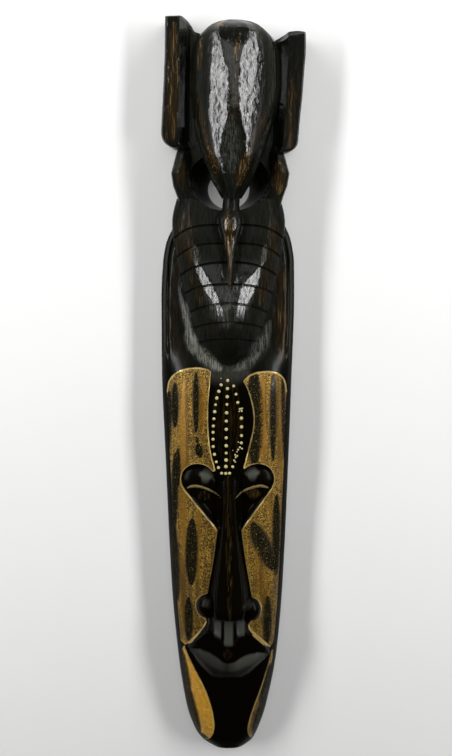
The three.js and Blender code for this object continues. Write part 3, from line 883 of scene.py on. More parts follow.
@dataclass(frozen=True)
class Hood:
    """Ribbed hood with a valley in its middle for the bird's head and beak.

    Facets are lines along the hood, and two of them on each side hold a bright flat between
    them. Each rib is given by its station, how far it bows and the power of its bow.
    """

    mid_x: float = -0.6
    half: Table = (
        (554.5, 8), (556, 12.5), (558, 16.5), (562, 21.5), (566, 25.5), (573, 31), (580, 35.6),
        (594, 42.4), (613, 48.6), (631, 54.3), (673, 63.4), (700, 68.5), (728, 73), (745, 73.6),
        (757, 72), (774, 67.5))
    roof: Table = ((554.5, 53), (558, 60.5), (566, 70), (578, 78), (590, 83), (605, 86.4), (620, 87.8),
                   (640, 88.2), (690, 88), (720, 87), (740, 85), (774, 80))
    edge: Table = ((554.5, 50), (578, 57), (620, 52), (700, 48), (745, 47), (774, 44))
    facets: tuple[Table, ...] = (
        ((554.5, -3), (588, -11.7), (620, -14.3), (633, -16.8), (643.5, -23.2), (652.5, -29.6),
         (664, -35.9), (671.6, -39.7), (684, -44.1), (694, -46.2), (706, -47.5), (722, -49), (774, -50)),
        ((554.5, -1), (588, -4), (620, -6.6), (633, -7.8), (643.5, -11.7), (652.5, -15.5), (664, -21.9),
         (672, -26.3), (684, -33.8), (694, -41), (706, -47.3), (722, -49), (774, -50)),
        ((554.5, 0.5), (588, 6.3), (620, 8.8), (643.5, 11.4), (652.5, 13.9), (664, 16.4), (671.6, 22.8),
         (684, 36), (694, 44), (706, 48), (722, 50.9), (774, 51.4)),
        ((554.5, 2), (588, 14), (620, 19.1), (633, 21.6), (643.5, 26.7), (652.5, 31.8), (664, 38.1),
         (671.6, 40), (684, 43.1), (694, 46.5), (706, 48.2), (722, 51), (774, 51.5)))
    facet_slope: Table = ((554.5, 0.25), (616, 0.3), (640, 0.43), (649, 0.477), (774, 0.477))
    meets: tuple[float, float] = (-8, 9)
    valley: tuple[float, float] = (1.5, 3.2)
    valley_half: Table = ((640, 4), (668, 11), (700, 15), (740, 19), (774, 19))
    top: float = 774.0
    ribs: tuple[Spot, ...] = (
        (595.2, 7.5, 2), (617.3, 11, 2), (642, 16, 2), (665.8, 15, 2.8), (693.2, 19, 2.9),
        (717, 19, 3.6), (740.5, 19, 4))
    rib_depth: float = 2.6
    rib_half: float = 1.5
    swell: float = 0.45
    foot_stations: tuple[float, ...] = (554.5, 555.3, 556.5, 558.2, 560.5, 563.5, 567, 571, 575.5, 580)
    foot_bows: Table = ((584.5, 2), (588.5, 4.5), (591.5, 6.3))
    groove: Table = ((-1.0, 0.0), (-0.55, 0.45), (-0.2, 0.95), (0.0, 1.0), (0.25, 0.8), (0.7, 0.3),
                     (1.2, 0.0))
    rows_between: int = 12

    def outline(self) -> Array:
        """Draws the hood's outline, from the top left round to the top right.

        Returns:
            Points in x and s.
        """
        s = np.concatenate([np.linspace(self.top, 590, 40), np.linspace(586, 554.5, 20)])
        half = Track(self.half)(s)
        left = np.column_stack([self.mid_x - half, s])
        return np.vstack([left, np.column_stack([self.mid_x + half, s])[::-1]])

    def height(self, t: Array, s: Array) -> Array:
        """Gives the front of the hood without its grooves.

        Args:
            t: Share across, from -1 to 1.
            s: Place along the mask.

        Returns:
            Heights above the back.
        """
        half = Track(self.half)(s)
        x = self.mid_x + t * half
        left_out, left_in, right_in, right_out = (Track(table)(s) for table in self.facets)
        slope, roof, edge = Track(self.facet_slope)(s), Track(self.roof)(s), Track(self.edge)(s)
        left = roof - (self.meets[0] - x) * slope
        right = roof - (x - self.meets[1]) * slope
        left_z = roof - (self.meets[0] - left_in) * slope
        right_z = roof - (right_in - self.meets[1]) * slope
        share = np.clip((x - left_in) / (right_in - left_in), 0, 1)
        z = np.where(x < left_in, left, np.where(x > right_in, right, lerp(left_z, right_z, share)))
        middle, depth = self.valley
        z = z - depth * smooth(641, 668, s) * np.exp(-((x - middle) / Track(self.valley_half)(s)) ** 2)
        for out, foot, meet in ((left_out, self.mid_x - half, self.meets[0]),
                                (right_out, self.mid_x + half, self.meets[1])):
            start = roof - np.abs(out - meet) * slope
            u = np.clip((x - out) / (foot - out), 0, 1)
            z = np.where(u > 0, start - (start - edge) * (0.78 * u + 0.22 * u ** 5), z)
        return z

    def rows(self) -> Array:
        """Lists the bowed rows that the hood is skinned over.

        Returns:
            Rows of middle station, bow, power of the bow and groove depth.
        """
        rows = [(s, 0.0, 2.0, 0.0) for s in self.foot_stations]
        rows += [(s, bow, 2.0, 0.0) for s, bow in self.foot_bows]
        for k, (s, bow, power) in enumerate(self.ribs):
            rows += [(s + o * self.rib_half, bow, power, self.rib_depth * d) for o, d in self.groove]
            last = k + 1 == len(self.ribs)
            ahead = (self.top, 0.0, power) if last else self.ribs[k + 1]
            low = s + self.groove[-1][0] * self.rib_half
            high = ahead[0] - (0 if last else self.rib_half)
            for i in range(1, self.rows_between + last):
                t = i / self.rows_between
                swell = -self.swell * math.sin(math.pi * t) * (0.3 if last else 1)
                rows.append((low + (high - low) * t, bow + (ahead[1] - bow) * t,
                             power + (ahead[2] - power) * t, swell))
        return np.array(rows)

    def solid(self) -> Solid:
        """Skins the hood over its bowed rows.

        Returns:
            The closed solid.
        """
        mid, bow, power, sink = (c[:, None] for c in self.rows().T)
        turn = np.linspace(-math.pi / 2, math.pi / 2, 96)[None, :]
        t = np.sin(turn) * 0.35 + np.linspace(-1, 1, 96)[None, :] * 0.65
        half = Track(self.half)(mid - bow)
        s = mid - bow * np.abs(t) ** power
        z = self.height(t, s) - sink - 4 * smooth(0.985, 1.0, np.abs(t))
        x = self.mid_x + t * half
        grid = np.stack([x, s, z], -1)
        foot = np.maximum(3, half - 7)
        low = mid - bow
        left = np.stack([self.mid_x - foot, low, 0 * low], -1)
        right = np.stack([self.mid_x + foot, low, 0 * low], -1)
        return Solid.skin(np.concatenate([left, grid, right], axis=1))


@dataclass(frozen=True)
class WingForm:
    """Sizes of one wing: outer edge, inner edge, lower end, upper end and the bevel along it.

    The upper end and its bevel are given for shares across the wing, from 0 at the outer edge.
    """

    outer: Table
    inner: float
    bottom: tuple[float, float]
    top: Table
    bevel: Table


@dataclass(frozen=True)
class Bird:
    """The bird above the hood: body, wings, legs, neck, head and beak, round an open bowl.

    A leg is given by rows of station, outer edge, inner edge and height.
    """

    half: Table = (
        (774, 8.5), (782, 10.2), (797, 16.5), (813, 24.8), (828, 32.3), (844, 38.2), (877, 45.2),
        (914, 50.6), (950, 50), (965, 47.2), (978, 39.8), (986.5, 30.5), (991, 20.5), (993, 9))
    mid: Table = ((774, 3.4), (828, 4.3), (859, 4.8), (896, 8.2), (932, 9.2), (993, 6.5))
    crown: Table = ((774, 71), (790, 76.8), (813, 83.5), (844, 89.8), (872, 93), (900, 94.4), (950, 92),
                    (974, 85), (986, 76), (993, 62))
    arris: Table = ((774, 57), (800, 61), (860, 64), (950, 63), (993, 60))
    far_arris: float = 3.0
    meets: tuple[Table, Table] = (
        ((774, -8), (833, -9), (870, -4), (905, -2), (941, -6), (976, -12), (993, -4)),
        ((774, 19), (833, 21), (870, 17), (905, 13), (941, 16), (976, 23), (993, 14)))
    under: Table = ((774, 44), (800, 38), (822, 25), (846, 0), (993, 0))
    bevel: Table = ((774, 4), (782, 7.5), (797, 10), (813, 7.5), (844, 6), (877, 7.5), (914, 7),
                    (970, 6.5), (993, 1))
    facets: tuple[Table, ...] = (
        ((774, -2), (790, -5), (821, -12.7), (833, -18.3), (845, -21.4), (869, -23.8), (881, -25.6),
         (893, -26.2), (905, -24.9), (941, -22.4), (976, -21.1), (986, -14), (993, 1)),
        ((774, 0), (790, -2), (821, -8.4), (833, -11.5), (845, -10.2), (857, -6.5), (869, -4),
         (881, -2.1), (893, -2.8), (905, -0.3), (917, 0.9), (929, -1.5), (941, -7.7), (953, -7.9),
         (964, -10.1), (976, -13.7), (986, -10), (993, 2)),
        ((774, 6), (790, 9), (821, 20.9), (833, 22.1), (845, 21.4), (857, 18.3), (869, 14.5),
         (881, 13.3), (893, 10.8), (905, 9.5), (917, 10.7), (929, 13.2), (941, 14.4), (953, 16.8),
         (964, 22.2), (976, 25.2), (986, 20), (993, 9.5)),
        ((774, 6.5), (790, 10), (821, 22.1), (833, 23.3), (845, 23.9), (857, 25.7), (869, 27.5),
         (893, 29.3), (905, 31.1), (917, 32.9), (953, 35.1), (964, 34.4), (976, 32.6), (986, 25),
         (993, 10.5)),
        ((774, 7), (790, 11), (821, 23.4), (833, 25.2), (845, 27), (857, 30.7), (869, 34.3), (881, 36.7),
         (905, 39.1), (917, 40.2), (964, 39.9), (976, 37.4), (986, 29), (993, 11.5)))
    facet_slopes: tuple[float, float] = (0.477, 0.7)
    left_wing: WingForm = WingForm(
        outer=((837, -70), (840, -77), (846, -84), (856, -87), (873, -86.4), (922, -83.4), (959, -81.7),
               (1000, -80.7)),
        inner=-34,
        bottom=(837, 836),
        top=((0, 1000), (0.44, 1000), (0.6, 995.5), (0.7, 990), (0.79, 983.5), (1, 980)),
        bevel=((0, 1.6), (0.4, 1.6), (0.55, 4.5), (0.8, 5), (1, 3)))
    right_wing: WingForm = WingForm(
        outer=((832.5, 75), (835.5, 82), (842, 87.6), (867, 90.2), (910, 94), (935, 95.6), (959, 97.1),
               (979.5, 96.6)),
        inner=40,
        bottom=(832.5, 829),
        top=((0, 981), (0.18, 982.4), (0.36, 981.4), (0.47, 977.6), (0.65, 973), (1, 966)),
        bevel=((0, 2.6), (0.1, 4.5), (0.3, 6.5), (0.5, 6.5), (0.7, 3), (1, 2)))
    wing_fall: tuple[tuple[float, ...], tuple[float, ...]] = ((0, 0.4, 0.66, 1), (47.5, 52, 37.5, 36))
    legs: tuple[tuple[float, float, float, float], ...] = (
        (846, 67, 41, 40), (832, 69.5, 45, 47), (806, 76, 52.5, 58), (790, 73.6, 50.5, 57),
        (776, 68.5, 43, 56), (760, 64, 34, 56))
    ragged_band: tuple[float, ...] = (776, 820, 965, 984)
    facet_columns: tuple[int, ...] = (14, 12, 8, 12, 5, 14)
    bend_power: int = 5
    leg_back: float = 6.0
    leg_mid: float = 1.4
    bowl_outline: Table = ((-58, 756), (58, 756), (60, 800), (56, 846), (-54, 846), (-58, 800))
    bowl_x: float = -0.4
    bowl_s: tuple[float, float] = (786.0, 798.5)
    bowl_half: tuple[float, float] = (27.4, 25.4)
    bowl_flare: tuple[float, float] = (55.0, 40.0)
    bowl_height: float = 40.0
    neck_x: Table = ((659, 1.1), (686, 1.9), (746, 1.6), (762, 2.2), (786, 3.7), (806, 4.2))
    neck_half: Table = (
        (659, 1.1), (669, 2.9), (686, 4.7), (704, 7), (716, 9.2), (726, 11.6), (736, 14.6), (746, 16),
        (755, 14.6), (762, 11.2), (770, 10.8), (786, 11.5), (806, 15))
    neck_z: Table = ((659, 77), (669, 75), (686, 71), (704, 67), (726, 63), (746, 61.5), (762, 57),
                     (786, 58.5), (806, 60))
    neck_high: Table = ((659, 8), (686, 11), (716, 13), (726, 15), (736, 18), (746, 18.5), (755, 16),
                        (762, 13), (770, 12.5), (786, 13), (806, 15))

    def front(self, s: Array, mid: Array, half: Array, arris: Array,
              crown: Array) -> Array:
        """Lays the front of the body in long facets with ragged edges.

        Args:
            s: Stations, one a row.
            mid: Middle of the body at each station.
            half: Half its width.
            arris: Height of its edge.
            crown: Height of its crown.

        Returns:
            Grid of front points.
        """
        slope, far_slope = self.facet_slopes
        left_meet, right_meet = (Track(table)(s) for table in self.meets)
        fade = between(*self.ragged_band, s)
        lines = []
        for k, table in enumerate(self.facets):
            ragged = 0.9 * np.sin(s / 8.3 + 2.1 * k) + 0.6 * np.sin(s / 3.9 + 5 * k)
            lines.append(Track(table)(s) + ragged * fade)
        x = np.stack([mid - half, *lines, mid + half])
        x[1:-1] = np.clip(x[1:-1], mid - half + 2, mid + half - 2)
        x = np.maximum.accumulate(x, axis=0)
        left_z = [crown - slope * (left_meet - x[k]) for k in (1, 2)]
        right_z = [crown - slope * (x[k] - right_meet) for k in (3, 4)]
        far_z = [right_z[1] - far_slope * (x[5] - x[4]), arris - self.far_arris * fade]
        z = np.stack([arris, *left_z, *right_z, *far_z])
        columns = []
        for k, count in enumerate(self.facet_columns):
            t = np.linspace(0, 1, count, endpoint=False)[None, :]
            rise = t
            if k == 0:
                rise = 1 - (1 - t) ** self.bend_power
            elif k == len(self.facet_columns) - 1:
                rise = t ** self.bend_power
            high = lerp(z[k], z[k + 1], 0.8 * t + 0.2 * rise)
            columns.append(np.stack([lerp(x[k], x[k + 1], t), s + 0 * t, high], -1))
        columns.append(np.stack([x[6], s, z[6]], -1))
        return np.concatenate(columns, 1)

    def body(self) -> Solid:
        """Skins the teardrop body: a faceted dome on a bevelled edge.

        Returns:
            The closed solid.
        """
        tip = [978, 980, 982, 984, 985.8, 987.4, 988.9, 990.2, 991.3, 992.2, 993]
        s = np.concatenate([np.linspace(774, 976, 98), tip])[:, None]
        half, mid, crown, arris, under, bevel = (Track(t)(s) for t in (
            self.half, self.mid, self.crown, self.arris, self.under, self.bevel))
        dome = self.front(s, mid, half, arris, crown)
        out, low = half + bevel, np.maximum(under + 2, arris - 20)
        side = [(out * 0.75, under), (out * 0.93, lerp(under, low, 0.4)), (out, low),
                (lerp(out, half, 0.34), lerp(low, arris, 0.36)),
                (lerp(out, half, 0.68), lerp(low, arris, 0.7)), (half, arris - 1.2)]
        left = np.stack([np.concatenate([mid - a, s, b], 1) for a, b in side], 1)
        right = np.stack([np.concatenate([mid + a, s, b], 1) for a, b in side[::-1]], 1)
        return Solid.skin(np.concatenate([left, dome, right], 1))

    def wing(self, form: WingForm) -> Solid:
        """Makes one wing: a slab whose front falls into the groove beside the body.

        Args:
            form: The wing's sizes.

        Returns:
            The closed solid.
        """
        low, high = form.outer[0][0], form.outer[-1][0]
        u = np.concatenate([[0, 0.02, 0.045, 0.07], np.linspace(0.1, 1, 34)])[None, :]
        v = np.concatenate([np.linspace(0, 0.1, 12), np.linspace(0.115, 0.93, 56),
                            np.linspace(0.937, 0.995, 14), [1.0]])[:, None]
        start = lerp(form.bottom[0], form.bottom[1], u)
        end = Track(form.top)(u)
        s = lerp(start, end, v)
        x = lerp(Track(form.outer)(lerp(low, high, v)), form.inner, u)
        z = np.interp(u, *self.wing_fall) - 3.2 * (1 - smooth(-0.02, 0.04, u))
        bevel = Track(form.bevel)(u)
        z = z - 0.85 * np.maximum(0, bevel - (end - s)) - 1.6 * (1 - smooth(0, 0.012, v))
        front = np.stack([x, s, z], -1)
        back = np.stack([x + (form.inner - x) * 0.03, s, 0 * z], -1)
        return Solid.slab(front, back)

    def leg(self, side: Side) -> Solid:
        """Makes one leg with flat cut faces.

        Args:
            side: Which leg.

        Returns:
            The closed solid.
        """
        rings = []
        for s, outer, inner, top in self.legs:
            rings.append([(outer - 2, self.leg_back), (outer, self.leg_back + 8), (outer, top - 7),
                          (outer - 1.5, top - 1.8), (lerp(outer, inner, 0.42), top),
                          (inner + 2.5, top - 9.5), (inner, top - 18), (inner - 2, self.leg_back)])
        corner = np.array(rings)
        at = np.array([leg[0] for leg in self.legs])
        s = np.linspace(at.min(), at.max(), 40)
        round_up = np.stack([np.stack([np.interp(s, at[::-1], corner[::-1, k, a])
                                       for k in range(corner.shape[1])], 1) for a in (0, 1)], -1)
        closed = np.concatenate([round_up, round_up[:, :1]], 1)
        fine = np.concatenate([lerp(closed[:, :-1], closed[:, 1:], t)[:, :, None]
                               for t in (0, 0.25, 0.5, 0.75)], 2).reshape(len(s), -1, 2)
        x = self.leg_mid + side.value * fine[:, :, 0]
        return Solid.skin(np.stack([x, s[:, None] + 0 * x, fine[:, :, 1]], -1))

    def bowl(self) -> Solid:
        """Makes the block that the open bowl is cut from."""
        return Solid.prism(np.array(self.bowl_outline, float), 0, self.bowl_height)

    def bowl_hole(self) -> Solid:
        """Makes the flared hole that goes right through the bowl.

        Returns:
            The tool that cuts it.
        """
        level = np.array([-2, 0, 3, 8, 14, 21, 28, 34, 40, 48, 64], float)[:, None]
        share = np.interp(level, [-2, 4, 14, 28, 40, 64], [0, 0.02, 0.22, 0.6, 0.9, 1.05])
        turn = np.linspace(0, 2 * np.pi, 96, endpoint=False)[None, :]
        x = self.bowl_x + np.cos(turn) * lerp(self.bowl_half[0], self.bowl_flare[0], share)
        s = lerp(self.bowl_s[0], self.bowl_s[1], share) + np.sin(turn) * lerp(
            self.bowl_half[1], self.bowl_flare[1], share)
        return Solid.skin(np.stack([x, s, level + 0 * x], -1))

    def neck(self) -> Solid:
        """Skins neck, head and beak in one run.

        Returns:
            The closed solid.
        """
        s = np.linspace(659, 806, 92)[:, None]
        turn = np.linspace(0, 2 * np.pi, 44, endpoint=False)[None, :]
        x = Track(self.neck_x)(s) + np.cos(turn) * Track(self.neck_half)(s)
        z = Track(self.neck_z)(s) + np.sin(turn) * Track(self.neck_high)(s)
        return Solid.skin(np.stack([x, s + 0 * x, z], -1))


@dataclass(frozen=True)
class Trough:
    """The long shallow hollow in the back."""

    low: float = 90.0
    high: float = 530.0
    mid_x: float = -1.8
    half: float = 50.0
    depth: float = 27.0

    def solid(self) -> Solid:
        """Makes the tool that hollows the back.

        Returns:
            The tool, which reaches below the flat back.
        """
        share = np.linspace(-1, 1, 80)[:, None]
        across = np.maximum(0.06, np.sqrt(1 - np.abs(share) ** 2.6))
        turn = np.linspace(0, np.pi, 36)[None, :]
        x = self.mid_x - np.cos(turn) * self.half * across
        z = np.sin(turn) ** 0.75 * self.depth * across ** 0.7
        s = (self.low + self.high) / 2 + share * (self.high - self.low) / 2
        grid = np.stack([x, s + 0 * x, z], -1)
        ends = [np.stack([grid[:, k, 0], grid[:, k, 1], 0 * s[:, 0] - 4], -1)[:, None] for k in (0, -1)]
        return Solid.skin(np.concatenate([ends[0], grid, ends[1]], 1))


@dataclass(frozen=True)
class Blob:
    """Soft mark on the front, from one end point to the other."""

    start: tuple[float, float]
    end: tuple[float, float]
    radius: float
    amount: float = 1.0
    soft: float = 1.0

    def cover(self, points: Array) -> Array:
        """Gives how strongly the mark covers each point, less towards its thin ends.

        Args:
            points: Points in x and s.

        Returns:
            One share for each point.
        """
        start, span = np.array(self.start, float), np.subtract(self.end, self.start).astype(float)
        t = np.clip(((points - start) @ span) / float(span @ span), 0, 1)
        away = np.hypot(*(points - start - t[:, None] * span).T)
        width = self.radius * (1 - 0.65 * np.abs(2 * t - 1) ** 3)
        return self.amount * (1 - smooth(1 - 0.6 * self.soft, 1 + 0.75 * self.soft, away / width))


@dataclass(frozen=True)
class Marks:
    """Where the wood is rubbed brown, where painted highlights lie on it, and where the gold is left black
    or smooth.
    """

    rubbed: tuple[Blob, ...] = (
        Blob((-69.7, 990), (-71.7, 850), 8, 0.75), Blob((-76, 900), (-78, 845), 6, 0.6),
        Blob((78.6, 925), (78, 838), 6, 0.6), Blob((70, 975), (70, 905), 4, 0.35),
        Blob((88, 960), (86, 850), 4, 0.3), Blob((-21, 985), (-5, 987), 5),
        Blob((-34, 975), (-38, 930), 3, 0.8), Blob((11.8, 968), (7.5, 940), 4),
        Blob((8, 935), (6, 870), 3, 0.7), Blob((33, 980), (42, 968), 4, 0.5),
        Blob((-40, 900), (-24, 830), 4, 0.6), Blob((-26.6, 842), (-15, 800), 5, 0.8),
        Blob((45, 880), (26, 834), 4, 0.6), Blob((26, 836), (11, 790), 7, 0.85),
        Blob((-48, 935), (-46, 880), 3, 0.5), Blob((63.6, 820), (64, 782), 9, 0.8),
        Blob((-61, 826), (-61, 783), 7, 0.5), Blob((-57, 755), (-50, 694), 10, 0.55),
        Blob((-50, 694), (-36, 640), 9, 0.5), Blob((-30, 625), (-20, 600), 9, 0.3),
        Blob((58, 750), (54, 694), 8, 0.5), Blob((54, 694), (40, 640), 8, 0.55),
        Blob((-66, 745), (-64, 700), 4, 0.5), Blob((-70, 690), (-69, 560), 9, 0.38),
        Blob((69, 690), (70, 560), 10, 0.62), Blob((-79, 640), (-79, 570), 3, 0.3),
        Blob((-2, 540), (-2, 430), 20, 0.36, 0.5), Blob((-1, 420), (1, 215), 4.5, 0.5),
        Blob((-2, 168), (-2, 152), 6, 0.55), Blob((-1.5, 757), (1, 700), 6),
        Blob((1.1, 700), (1.1, 662), 3, 0.8), Blob((-40, 384), (-28, 376), 9, 0.5),
        Blob((26, 384), (40, 382), 9, 0.6), Blob((-78, 350), (-74, 200), 3, 0.4),
        Blob((-68, 130), (-50, 40), 4, 0.4))
    soot: tuple[Blob, ...] = (
        Blob((-71.7, 532), (-72.2, 474), 3.6, 0.85, 1.3),
        Blob((-43.5, 547), (-43.9, 470), 3, 0.85, 1.3), Blob((-42.8, 462), (-42.4, 455), 1.6, 0.9, 0.5),
        Blob((-41.5, 452), (-38.4, 436), 4.2, 1, 0.6), Blob((-68.4, 443), (-68.8, 392), 2.8, 0.8, 1.3),
        Blob((-72.5, 436), (-74.5, 330), 3.4, 0.8, 1.3), Blob((-74.5, 330), (-71, 228), 3.6, 0.75, 1.3),
        Blob((-50, 345), (-51.8, 257), 6.6, 1, 0.9), Blob((-55.5, 233), (-55.9, 172), 4.4, 0.9, 1.3),
        Blob((33, 548), (34, 428), 9.5, 0.68), Blob((58.1, 543), (59, 429), 3.2, 0.85, 1.3),
        Blob((71, 545), (75, 430), 2.6, 0.6, 1.3), Blob((33, 340), (60, 276), 8, 0.85, 1.5),
        Blob((64.3, 377), (65, 266), 4.2, 0.85, 1.3), Blob((53.1, 234), (52.8, 164), 4.6, 0.85, 1.3),
        Blob((-71, 160), (-57, 84), 6.5, 0.95, 0.9), Blob((-65, 116), (-42, 24), 6, 0.95, 0.9),
        Blob((-42, 24), (-27, 8), 5, 1, 0.6), Blob((58, 128), (47, 66), 6.5, 0.85, 1.2),
        Blob((49, 76), (36, 24), 5.5, 0.85, 1.2), Blob((-24, 206), (-36, 190), 2, 0.6),
        Blob((-80, 520), (-84, 430), 3.4, 0.9, 1.2), Blob((-84, 440), (-79, 290), 3.4, 0.9, 1.2),
        Blob((79, 520), (78, 420), 3, 0.9, 1.2), Blob((78, 430), (74, 290), 3, 0.9, 1.2),
        Blob((-80, 310), (-73, 165), 3.2, 0.9, 1.2), Blob((75, 310), (69, 165), 3, 0.9, 1.2))
    # Painted highlights: pale marks laid where light catches the lids, nostrils, lips, hood and body.
    wear_and_sheen: tuple[Blob, ...] = (
        Blob((-33, 231), (-27, 236), 5, 0.08, 1.6), Blob((21, 232), (30, 231), 5, 0.12, 1.6),
        Blob((-37, 410), (-24, 407), 6.4, 0.42, 1.6), Blob((24, 411), (38, 412), 6, 0.4, 1.6),
        Blob((-34, 550), (24, 548), 11, 0.14, 1.4), Blob((-58, 640), (-54, 600), 4, 0.7, 1.1),
        Blob((-54, 606), (-44, 572), 6, 1.15, 1.2), Blob((-50, 584), (-12, 553), 6.4, 1, 1.3),
        Blob((54, 614), (46, 584), 4.6, 0.3, 1.3), Blob((51, 598), (28, 562), 7, 0.46, 1.4),
        Blob((36, 568), (8, 552), 5.6, 0.42, 1.4), Blob((-2, 664), (0, 642), 15, 0.1, 1.2),
        Blob((-27, 662), (-16, 630), 7, 0.24), Blob((28, 664), (18, 632), 6.5, 0.26),
        Blob((-1, 640), (-1, 618), 18, 0.18, 1.1), Blob((-45, 714), (-42, 692), 4.5, 0.34, 0.9),
        Blob((47, 714), (43, 692), 4, 0.3, 0.9), Blob((2, 872), (3, 808), 9, 0.16, 1.3),
        Blob((-46, 876), (-24, 806), 2.4, 0.22), Blob((-25, 808), (-12, 784), 2, 0.2),
        Blob((52, 872), (31, 808), 2.4, 0.2), Blob((-49, 800), (-42, 776), 3.2, 0.14),
        Blob((51, 794), (44, 775), 3.2, 0.14))
    smooth_gold: tuple[Blob, ...] = (
        Blob((-60, 540), (-62, 300), 5), Blob((-34, 545), (-36, 470), 3.5, 0.9),
        Blob((44.1, 545), (44.8, 430), 5.5), Blob((-41, 370), (-42, 256), 2.4),
        Blob((-64, 300), (-63, 175), 4, 0.9), Blob((67, 535), (70, 400), 3, 0.8),
        Blob((38, 305), (52, 215), 7, 0.75, 1.2), Blob((-40, 98), (-36, 60), 6, 0.8),
        Blob((-56, 140), (-42, 105), 5, 0.7), Blob((52, 400), (60, 330), 3, 0.5))

    @staticmethod
    def cover(blobs: Sequence[Blob], points: Array) -> Array:
        """Gives the strongest of several marks at each point."""
        return np.max(np.stack([b.cover(points) for b in blobs]), axis=0)


@dataclass(frozen=True)
class Chisel:
    """Shallow scoops left by the carver's gouge."""

    across: float
    along: float
    depth: float
    seed: int

    def at(self, x: Array, s: Array) -> Array:
        """Gives the height of the tool marks.

        Args:
            x: Places across the mask.
            s: Places along it.

        Returns:
            Heights, low in the middle of each scoop and high between scoops.
        """
        rng = np.random.default_rng(self.seed)
        jitter = rng.random((256, 256, 3))
        lean = 0.18 * np.sin(s / 61.0 + self.seed) * 14
        u, v = (x + lean) / self.across, s / self.along
        v = v + 0.37 * np.floor(u)
        i, j = np.floor(u).astype(int), np.floor(v).astype(int)
        best = np.full(u.shape, 9.0)
        for di in (-1, 0, 1):
            for dj in (-1, 0, 1):
                place = jitter[(i + di) % 256, (j + dj) % 256]
                du = u - (i + di + 0.2 + 0.6 * place[..., 0])
                dv = v - (j + dj + 0.2 + 0.6 * place[..., 1])
                best = np.minimum(best, du * du + dv * dv + 0.25 * place[..., 2])
        return self.depth * (np.minimum(best, 1.2) - 0.45)


@dataclass(frozen=True)
class Gouges:
    """The gouges used on each part of the mask, broad ones first."""

    body: tuple[Chisel, ...] = (Chisel(9, 17, 0.95, 3), Chisel(4.6, 8.5, 0.5, 8), Chisel(3.1, 5.2, 0.22, 9))
    hood: tuple[Chisel, ...] = (Chisel(11, 20, 0.4, 5), Chisel(4.6, 9, 0.32, 6))
    flanks: tuple[Chisel, ...] = (Chisel(9, 38, 0.42, 7), Chisel(3.6, 15, 0.18, 4))
    wings: tuple[Chisel, ...] = (Chisel(13, 46, 0.55, 7), Chisel(4.4, 18, 0.2, 4))
    face: tuple[Chisel, ...] = (Chisel(13, 34, 0.12, 11),)
    panels: tuple[Chisel, ...] = (Chisel(9, 30, 0.22, 13),)
    back: tuple[Chisel, ...] = (Chisel(19, 44, 1.3, 17),)

    @staticmethod
    def together(gouges: Sequence[Chisel], x: Array, s: Array) -> Array:
        """Gives the height of the marks of several gouges together."""
        return sum(gouge.at(x, s) for gouge in gouges)


